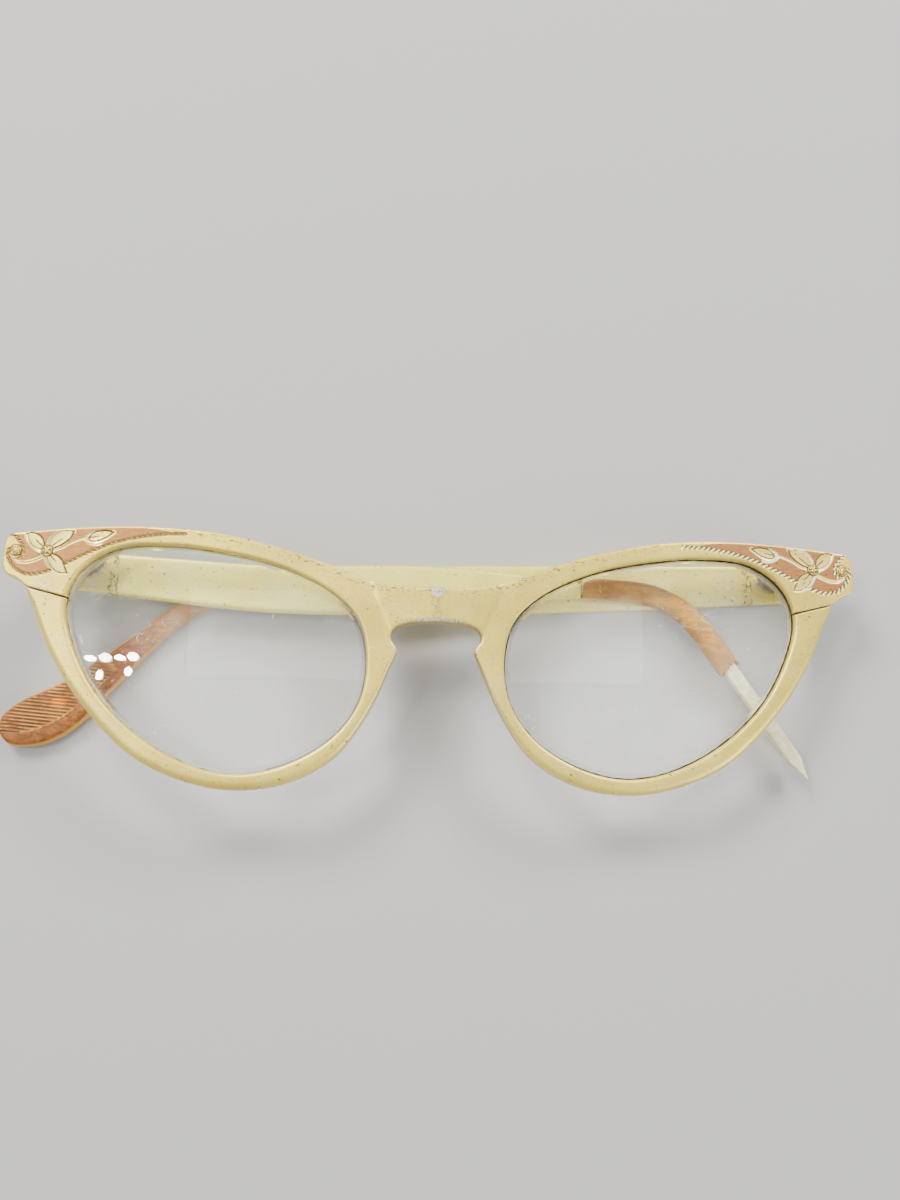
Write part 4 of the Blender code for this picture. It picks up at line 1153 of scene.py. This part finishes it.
def front_metal():
    made, tree, where, colour, specks, hair, mottle = gold_base("engraved_gold", GOLD_DEEP, GOLD_PALE)
    x, y, _ = add(tree, "SeparateXYZ", {0: where}).outputs
    edge = kept(tree, "edge")
    rubbed = times(tree, ramp(tree, edge, 0.3, 0.02), ramp(tree, mottle, 0.38, 0.62))
    wall = ramp(tree, edge, 0.012, 0.0)
    rubbed = times(tree, rubbed, minus(tree, 1.0, wall))
    colour = mix(tree, times(tree, rubbed, 0.5), colour, BARE_METAL)
    # The walls are darkened: painted shade.
    colour = mix(tree, times(tree, wall, 0.6), colour, WALL_PAINTED_SHADE)
    # The brow is pitted along its top edge, and the anodising is worn off the bridge's crest and lip.
    along_brow = times(tree, ramp(tree, edge, 0.2, 0.5), ramp(tree, edge, 1.9, 0.8))
    along_brow = times(tree, along_brow, ramp(tree, y, 9.0, 11.0))
    pitted = noise(tree, where, 1.5, 4.0, 0.75, stretch=(0.8, 1.5, 1), offset=(2, 9, 4))
    pitted = ramp(tree, pitted, 0.545, 0.6)
    pitted = times(tree, pitted, times(tree, along_brow, ramp(tree, kept(tree, "decorated"), 0.6, 0.2)))
    dark = larger(tree, specks, pitted)
    colour = mix(tree, times(tree, hair, 0.4), colour, BARE_METAL)
    ragged = minus(tree, noise(tree, where, 1.5, 5.0, 0.75, stretch=(1.5, 0.8, 1)), 0.5)
    bare = plus(tree, kept(tree, "worn"), times(tree, ragged, 2.4))
    worn = ramp(tree, bare, 0.62, 0.74)
    stained = times(tree, ramp(tree, bare, 0.42, 0.6), ramp(tree, bare, 0.78, 0.62))
    veins = noise(tree, where, 1.0, 4.0, 0.7, stretch=(3.2, 0.8, 1), offset=(1, 2, 3))
    veins = ramp(tree, veins, 0.56, 0.64)
    veins = times(tree, veins, ramp(tree, kept(tree, "worn"), 0.12, 0.36))
    colour = mix(tree, worn, colour, BARE_METAL)
    dark = larger(tree, dark, times(tree, larger(tree, veins, stained), 0.6))
    field = ramp(tree, kept(tree, "copper"), -0.03, 0.05)
    brushed = noise(tree, where, 1.0, 3.0, 0.6, stretch=(0.7, 5.0, 1), turn=(0, 0, -0.12))
    colour = mix(tree, field, colour, mix(tree, ramp(tree, brushed, 0.3, 0.75), COPPER, COPPER_PALE))
    bright = kept(tree, "bright")
    # Cuts are painted pale: their fresh metal colour plus a painted highlight, painted brighter on the
    # wearer's left.
    wearer_left = ramp(tree, x, -1.0, 1.0)
    cut_tone = mix(tree, times(tree, wearer_left, ramp(tree, bright, 0.4, 0.8)), CREAM_CUT, CUT_PAINTED_HIGHLIGHT)
    colour = mix(tree, times(tree, bright, 0.92), colour, cut_tone)
    # Dark where the carved grooves hold dirt and round the rivets, and painted shade along the petal
    # outlines and in the slit.
    dirt_and_shade = ramp(tree, plus(tree, kept(tree, "dirt_and_shade"), times(tree, mottle, 0.35)), 0.5, 1.0)
    dark = larger(tree, dark, dirt_and_shade)
    colour = mix(tree, times(tree, dark, 0.85), colour, GRIME_AND_SHADE)
    # The rope border is painted light on the wearer's left as a painted highlight, and painted dark on the
    # right as painted shade.
    rope = ramp(tree, kept(tree, "rope"), 0.03, -0.03)
    colour = mix(tree, rope, colour, mix(tree, wearer_left, ROPE_PAINTED_SHADE, CUT_PAINTED_HIGHLIGHT))
    shine = times(tree, larger(tree, bright, rope), wearer_left)
    link(tree, Metallic=minus(tree, 0.6, times(tree, shine, 0.4)))
    rough = minus(tree, 0.4, times(tree, larger(tree, bright, rope), 0.16))
    rough = plus(tree, rough, times(tree, field, 0.08))
    rough = minus(tree, rough, times(tree, worn, 0.1))
    pits = larger(tree, larger(tree, specks, pitted), times(tree, worn, 0.5))
    finish_metal(tree, where, colour, rough, pits, 0.0)
    return made


def temple_metal():
    made, tree, where, colour, specks, hair, _ = gold_base("temple_gold", TEMPLE_DEEP_LIT, TEMPLE_PALE_LIT)
    pit = ramp(tree, noise(tree, where, 1.1, 3.0, 0.75, offset=(5, 1, 8)), 0.66, 0.7)
    near = ramp(tree, kept(tree, "leaf"), 0.35, 0.6)
    crust = noise(tree, where, 1.5, 3.0, 0.75, stretch=(1.6, 0.8, 1), offset=(1, 4, 2))
    crust = ramp(tree, crust, 0.50, 0.56)
    dark = larger(tree, specks, larger(tree, times(tree, pit, 0.6), times(tree, near, crust)))
    groove = kept(tree, "groove")
    colour = mix(tree, times(tree, hair, 0.4), colour, BARE_METAL)
    colour = mix(tree, times(tree, larger(tree, dark, groove), 0.8), colour, GRIME_AND_SHADE)
    finish_metal(tree, where, colour, 0.4, dark, 0.0)
    return made


def raw_metal():
    """The bare end of a core, chalky with wear."""
    made, tree, _, where = principled("raw_aluminium", Metallic=0.3)
    cloud = noise(tree, where, 0.9, 4.0, 0.65)
    colour = mix(tree, ramp(tree, cloud, 0.3, 0.7), CORE_DEEP, CORE_PALE)
    stain = ramp(tree, noise(tree, where, 2.2, 3.0, 0.7, offset=(3, 3, 3)), 0.6, 0.68)
    colour = mix(tree, times(tree, stain, 0.4), colour, CORE_STAIN)
    drawn = noise(tree, where, 1.0, 3.0, 0.6, stretch=(0.5, 6.0, 3.0), turn=(0, 0, 0.96))
    link(tree, Base_Color=colour, Roughness=plus(tree, 0.38, times(tree, drawn, 0.2)))
    link(tree, Normal=bump(tree, minus(tree, drawn, stain), 0.03, 0.5))
    return made


def steel():
    made, tree, _, where = principled("hinge_steel_worn", Metallic=1.0)
    cloud = noise(tree, where, 0.8, 4.0, 0.6)
    turned_marks = noise(tree, where, 1.0, 2.0, 0.5, stretch=(0.8, 9.0, 9.0))
    colour = mix(tree, ramp(tree, cloud, 0.35, 0.7), STEEL_DEEP, STEEL_PALE)
    rust = ramp(tree, noise(tree, where, 1.3, 4.0, 0.7, offset=(2, 2, 6)), 0.6, 0.7)
    colour = mix(tree, times(tree, rust, 0.6), colour, RUST)
    rough = plus(tree, 0.24, times(tree, plus(tree, cloud, rust), 0.2))
    link(tree, Base_Color=colour, Roughness=rough, Normal=bump(tree, turned_marks, 0.02, 0.4))
    return made


def rivet_gold():
    made, tree, _, where = principled("rivet_gold", Metallic=0.9)
    mottle = noise(tree, where, 3.5, 3.0, 0.6)
    colour = mix(tree, ramp(tree, mottle, 0.35, 0.65), RIVET_DEEP, RIVET_PALE)
    hollow = ramp(tree, kept(tree, "cut"), 0.3, 0.6)
    colour = mix(tree, times(tree, hollow, 0.85), colour, RIVET_HOLLOW)
    link(tree, Base_Color=colour, Roughness=plus(tree, 0.24, times(tree, mottle, 0.16)))
    link(tree, Normal=bump(tree, noise(tree, where, 9.0, 2.0), 0.02, 0.4))
    return made


def lens_glass():
    """Clear glass with dust, smears and fine scratches, and a ground edge; lamps shine through it."""
    made, tree, shader, where = principled("lens_glass", IOR=1.5)
    x = add(tree, "SeparateXYZ", {0: where}).outputs[0]
    dust = ramp(tree, noise(tree, where, 2.4, 2.0, 0.55), 0.70, 0.72)
    motes = ramp(tree, noise(tree, where, 0.8, 3.0, 0.8, offset=(4, 8, 2)), 0.70, 0.72)
    hair = larger(tree, scratches(tree, where, 0.9, 0.52, 0.006), scratches(tree, where, -0.5, 0.55, 0.004))
    curls = calc(tree, "ABSOLUTE", minus(tree, noise(tree, where, 0.33, 1.0, 0.5, offset=(9, 1, 5)), 0.5))
    spots = ramp(tree, noise(tree, where, 0.3, 2.0, 0.5, offset=(2, 7, 7)), 0.6, 0.64)
    curls = times(tree, ramp(tree, curls, 0.006, 0.002), spots)
    mark = larger(tree, larger(tree, dust, motes), larger(tree, hair, curls))
    mark = times(tree, mark, kept(tree, "face"))
    haze = times(tree, ramp(tree, noise(tree, where, 0.07, 3.0, 0.6), 0.42, 0.75), 0.06)
    solid = plus(tree, times(tree, mark, 0.7), haze, clamp=True)
    ground = kept(tree, "ground")
    solid = larger(tree, solid, times(tree, ground, 0.3))
    # A dark ragged line round the lens's edge where it meets the rim: grime and painted shade, heavier on
    # the wearer's left.
    ragged = times(tree, minus(tree, noise(tree, where, 0.8, 4.0, 0.7), 0.5), 1.6)
    packed = times(tree, ramp(tree, x, -1.0, 1.0), 0.4)
    grime_and_shade = plus(tree, kept(tree, "seam"), plus(tree, ragged, packed))
    grime_and_shade = times(tree, ramp(tree, grime_and_shade, 1.0, 1.12), ground)
    dusty = mix(tree, larger(tree, mark, ground), GLASS_CLEAR, GLASS_DUSTY)
    colour = mix(tree, grime_and_shade, dusty, GLASS_GRIME_AND_SHADE)
    solid = larger(tree, solid, grime_and_shade)
    link(tree, Base_Color=colour, Transmission_Weight=minus(tree, 1.0, solid))
    link(tree, Roughness=times(tree, larger(tree, ground, mark), 0.45))
    clear = add(tree, "BsdfTransparent", {0: GLASS_THROUGH}).outputs[0]
    lamp_ray = add(tree, "LightPath").outputs["Is Shadow Ray"]
    thin = times(tree, minus(tree, ground, grime_and_shade, clamp=True), 0.78)
    share = larger(tree, lamp_ray, thin)
    both = add(tree, "MixShader", {0: share, 1: shader.outputs[0], 2: clear})
    tree.links.new(both.outputs[0], tree.nodes["Material Output"].inputs["Surface"])
    return made


def amber():
    """Aged honey-brown celluloid: streaked along its length, chalky where it is rubbed."""
    made, tree, _, where = principled(
        "amber_celluloid", IOR=1.45, Subsurface_Weight=0.08, Subsurface_Scale=0.002,
        Subsurface_Radius=(1.0, 0.5, 0.15), Specular_IOR_Level=0.2,
    )
    streak = noise(tree, where, 0.6, 4.0, 0.6, stretch=(0.5, 2.6, 2.6), turn=(0, 0, -0.2))
    cloud = noise(tree, where, 0.35, 3.0, 0.6)
    tone = plus(tree, times(tree, streak, 0.6), times(tree, cloud, 0.4))
    brown = mix(tree, ramp(tree, tone, 0.36, 0.64), BROWN_DEEP, BROWN_PALE)
    honey = mix(tree, ramp(tree, tone, 0.36, 0.64), HONEY_DEEP, HONEY_PALE)
    colour = mix(tree, kept(tree, "pale"), brown, honey)
    chalk = ramp(tree, noise(tree, where, 1.4, 4.0, 0.7), 0.52, 0.72)
    colour = mix(tree, times(tree, chalk, 0.35), colour, AMBER_CHALK)
    glow = plus(tree, kept(tree, "glow"), times(tree, streak, 1.2))
    colour = mix(tree, times(tree, ramp(tree, glow, 0.9, 1.5), 0.9), colour, AMBER_GLOW)
    rib = kept(tree, "rib")
    colour = mix(tree, times(tree, ramp(tree, rib, 0.45, 0.9), 0.6), colour, RIB_SHADE)
    patchy = ramp(tree, noise(tree, where, 0.3, 2.0, 0.6, offset=(6, 2, 5)), 0.42, 0.6)
    # Pale rib crests and a pale brim along the paddle's side: painted highlights.
    crest = times(tree, ramp(tree, rib, 0.02, 0.1), ramp(tree, rib, 0.4, 0.2))
    crest = times(tree, crest, plus(tree, 0.08, times(tree, patchy, 0.7)))
    brim = times(tree, kept(tree, "brim"), 0.7)
    colour = mix(tree, larger(tree, crest, brim), colour, RIB_CREST_HIGHLIGHT)
    link(tree, Base_Color=colour, Roughness=plus(tree, 0.42, times(tree, chalk, 0.25)))
    link(tree, Normal=bump(tree, plus(tree, streak, noise(tree, where, 7.0, 3.0)), 0.03, 0.5))
    return made


def pad_plastic():
    made, tree, _, where = principled("pad_acetate", IOR=1.49, Roughness=0.16, Subsurface_Weight=0.1)
    cloud = noise(tree, where, 0.7, 3.0)
    colour = mix(tree, ramp(tree, cloud, 0.3, 0.7), PAD_DEEP, PAD_PALE)
    link(tree, Base_Color=colour, Transmission_Weight=plus(tree, 0.5, times(tree, cloud, 0.2)))
    link(tree, Normal=bump(tree, noise(tree, where, 2.5, 3.0), 0.02, 0.3))
    return made


def paper():
    made, tree, _, where = principled("pale_paper", Roughness=0.85, Base_Color=FLOOR_TONE)
    link(tree, Normal=bump(tree, noise(tree, where, 5.0, 3.0), 0.02, 0.2))
    return made


# A screw's shaft radius, head radius and head height.
PIN_SIZES = (0.6, 1.15, 0.75)
CLAMP_SIZES = (0.5, 1.0, 0.65)
RIVET_RADIUS = 0.8
RIVET_CUT = 0.09


# ---- Assembly -------------------------------------------------------------------------------------
def build_front(metal, steel_finish, rivet, glass, pad):
    vertices, faces, values = front_solid()
    placed("front_plate", vertices, faces, "front", metal, "gold_aluminium", ["front_frame"],
           values, 50)
    for side, sign in SIDES.items():
        for number, solid in enumerate(lug_solids(), 1):
            vertices, faces = mirrored(solid, sign)
            ones = np.ones(len(vertices))
            blank = {"copper": -ones, "edge": ones, "rope": ones}
            placed(f"rim_lug_{side}_{number}", vertices, faces, "front", metal, "gold_aluminium",
                   (), blank)
        *solid, marks = lens_solid()
        placed(f"lens_blank_{side}", *mirrored(solid, sign), "front", glass, "lens", [f"lens_{side}"],
               marks, 25)
        placed(f"front_leaf_{side}", *mirrored(front_hinge_solid(), sign), "front", steel_finish,
               "hinge_steel", [f"front_hinge_{side}"])
        for number, pattern in ((1, flower_centre), (2, rosette)):
            rivet_head = engraved_rivet(RIVETS[number], RIVET_RADIUS, pattern, -THICKNESS)
            vertices, faces = mirrored(rivet_head, sign)
            x, y = vertices[:, 0] - sign * RIVETS[number][0], vertices[:, 1] - RIVETS[number][1]
            share, angle = np.hypot(x, y) / RIVET_RADIUS, np.arctan2(y, sign * x)
            cut = np.array([pattern(a, b) for a, b in zip(share, angle)])
            cut = cut / RIVET_CUT * (vertices[:, 2] > 0.05)
            placed(f"engraved_rivet_{side}_{number}", vertices, faces, "front", rivet,
                   "gold_aluminium", [f"front_hinge_rivet_{side}_{number}"], {"cut": cut})
        top = OUTER_KNUCKLES[1][1] + 0.1
        shaft, head, height = PIN_SIZES
        length = top - OUTER_KNUCKLES[0][0]
        pin = screw_solid((HINGE_X, top, HINGE_Z), (0, 1, 0), shaft, head, length, height)
        placed(f"hinge_pin_{side}", *mirrored(pin, sign), "front", steel_finish, "hinge_steel",
               [f"hinge_screw_{side}"])
        foot = RIM_LUG[2] - 0.08
        shaft, head, height = CLAMP_SIZES
        place = (RIM_SCREW[0], foot, RIM_SCREW[1])
        clamp = screw_solid(place, (0, -1, 0), shaft, head, RIM_LUG[3] - foot, height)
        placed(f"rim_clamp_{side}", *mirrored(clamp, sign), "front", steel_finish, "hinge_steel",
               [f"rim_screw_{side}"])
        placed(f"bridge_pad_{side}", *mirrored(pad_solid(), sign), "front", pad, "clear_pad",
               [f"nose_pad_{side}"])
        for number, share in enumerate(PAD_PINS, 1):
            x, y = pad_place(share)
            pin = turned([(0.3, -4.8), (0.35, -4.75), (0.35, -1.75), (0.3, -1.7)], (x, y, 0), (0, 0, 1), 24)
            placed(f"pad_peg_{side}_{number}", *mirrored(pin, sign), "front", steel_finish,
                   "hinge_steel", [f"nose_pad_pin_{side}_{number}"])


def build_temple(side, metal, raw, steel_finish, plastic):
    vertices, faces = band_solid(side)
    s = vertices[:, 0]
    top = vertices[:, 2] > sum(BAND_FACES) / 2
    leaf = np.exp(-(((s - 8.6) / 0.9) ** 2)) * top
    groove = np.exp(-(((s - RING_GROOVE[0]) / 0.25) ** 2))
    placed(f"band_{side}", vertices, faces, side, metal, "gold_aluminium", [f"temple_{side}"],
           {"leaf": leaf, "groove": groove})
    placed(f"core_{side}", *core_solid(side), side, raw, "gold_aluminium", sharp=28)
    placed(f"temple_leaf_{side}", *temple_leaf_solid(), side, steel_finish, "hinge_steel",
           [f"temple_hinge_{side}"])
    leaf_top = BAND_FACES[1] + 0.06 + TEMPLE_LEAF_THICKNESS
    for number, s in enumerate(TEMPLE_RIVETS, 1):
        low = BAND_FACES[0] + 0.05
        profile = [(0.3, low), (0.5, low + 0.05), (0.5, leaf_top + 0.02), (0.85, leaf_top + 0.02)]
        profile += [(0.85, leaf_top + 0.1), (0.76, leaf_top + 0.2)]
        profile += [(0.55, leaf_top + 0.28), (0.25, leaf_top + 0.32)]
        rivet = turned(profile, (s, HINGE_Y, 0), (0, 0, 1))
        placed(f"leaf_rivet_{side}_{number}", *rivet, side, steel_finish, "hinge_steel",
               [f"temple_hinge_rivet_{side}_{number}"])
    vertices, faces, rib = cover_solid(side)
    pale = smoothstep(112, 100, vertices[:, 0]) if side == "left" else np.ones(len(vertices))
    from_glow = np.linalg.norm((vertices[:, :2] - GLOW_PLACE) / GLOW_REACH, axis=1)
    glow = smoothstep(1.0, 0.1, from_glow) * (1 - pale)
    low, top = COVER_FACES
    height = vertices[:, 2]
    # The paddle's side faces, which carry a painted highlight.
    brim = smoothstep(top - 0.25, top - 0.6, height) * smoothstep(low + 0.2, low + 0.9, height) * (1 - pale)
    placed(f"cover_{side}", vertices, faces, side, plastic, "amber_plastic", [f"temple_tip_{side}"],
           {"pale": pale, "rib": rib, "brim": brim, "glow": glow}, 50)


LAMP_AIM = Vector((0, 0, 0))
PANE_HEIGHT = 0.6
PANE_POWER = 0.2
PANE_COLOUR = (1.0, 0.98, 0.95)
# name, place, size (both in metres), watts, colour
SOFT_LAMPS = [
    ("panel", (0.0, 0.12, 0.6), (0.4, 0.17), 0.3, (1.0, 0.99, 0.97)),
    ("key", (-0.42, 0.58, 0.58), (0.34, 0.26), 10.5, (1.0, 0.97, 0.92)),
    ("side", (0.46, 0.62, 0.52), (0.3, 0.24), 7.6, (1.0, 0.98, 0.95)),
    ("fill", (0.75, -0.45, 0.5), (0.5, 0.5), 4.6, (0.96, 0.98, 1.0)),
]
FLOOR_REACH = 1.5
WORLD_COLOUR = (1.0, 0.99, 0.97, 1)
WORLD_STRENGTH = 0.6


def lamp(name, place, size, power, colour, shape="RECTANGLE"):
    """An area lamp turned towards LAMP_AIM."""
    light = bpy.data.lights.new(name, "AREA")
    light.shape = shape
    light.size, light.size_y = size
    light.energy = power
    light.color = colour
    made = bpy.data.objects.new(name, light)
    made.location = place
    made.rotation_euler = (LAMP_AIM - Vector(place)).to_track_quat("-Z", "Y").to_euler()
    bpy.context.scene.collection.objects.link(made)


def build_studio():
    mesh = bpy.data.meshes.new("studio_floor")
    corners = [(x * FLOOR_REACH, y * FLOOR_REACH, 0) for x, y in ((-1, -1), (1, -1), (1, 1), (-1, 1))]
    mesh.from_pydata(corners, [], [(0, 1, 2, 3)])
    mesh.materials.append(paper())
    floor = bpy.data.objects.new("studio_floor", mesh)
    bpy.context.scene.collection.objects.link(floor)
    for number, (x, y, *size) in enumerate(PANES, 1):
        lamp(f"pane_{number}", (x, y, PANE_HEIGHT), size, PANE_POWER, PANE_COLOUR, "ELLIPSE")
    for name, place, size, power, colour in SOFT_LAMPS:
        lamp(name, place, size, power, colour)
    world = bpy.data.worlds.new("studio")
    world.use_nodes = True
    world.node_tree.nodes["Background"].inputs["Color"].default_value = WORLD_COLOUR
    world.node_tree.nodes["Background"].inputs["Strength"].default_value = WORLD_STRENGTH
    bpy.context.scene.world = world


def build_camera():
    """The camera, placed from the front: where it stands, what is to its right and what is ahead of it."""
    frame_turn = FRAMES["front"].to_3x3() * (1 / MM)
    right = (frame_turn @ Vector(CAMERA_RIGHT)).normalized()
    ahead = (frame_turn @ Vector(CAMERA_AHEAD)).normalized()
    up = right.cross(ahead)
    data = bpy.data.cameras.new("camera")
    data.lens = CAMERA_LENS
    data.sensor_width = 36
    data.clip_start = 0.005
    camera = bpy.data.objects.new("camera", data)
    turn = Matrix((right, up, -ahead)).transposed().to_4x4()
    camera.matrix_world = Matrix.Translation(FRAMES["front"] @ Vector(CAMERA_PLACE)) @ turn
    bpy.context.scene.collection.objects.link(camera)
    bpy.context.scene.camera = camera


def main():
    steel_finish = steel()
    build_front(front_metal(), steel_finish, rivet_gold(), lens_glass(), pad_plastic())
    metal, raw, plastic = temple_metal(), raw_metal(), amber()
    for side in SIDES:
        build_temple(side, metal, raw, steel_finish, plastic)
    build_studio()
    build_camera()


main()
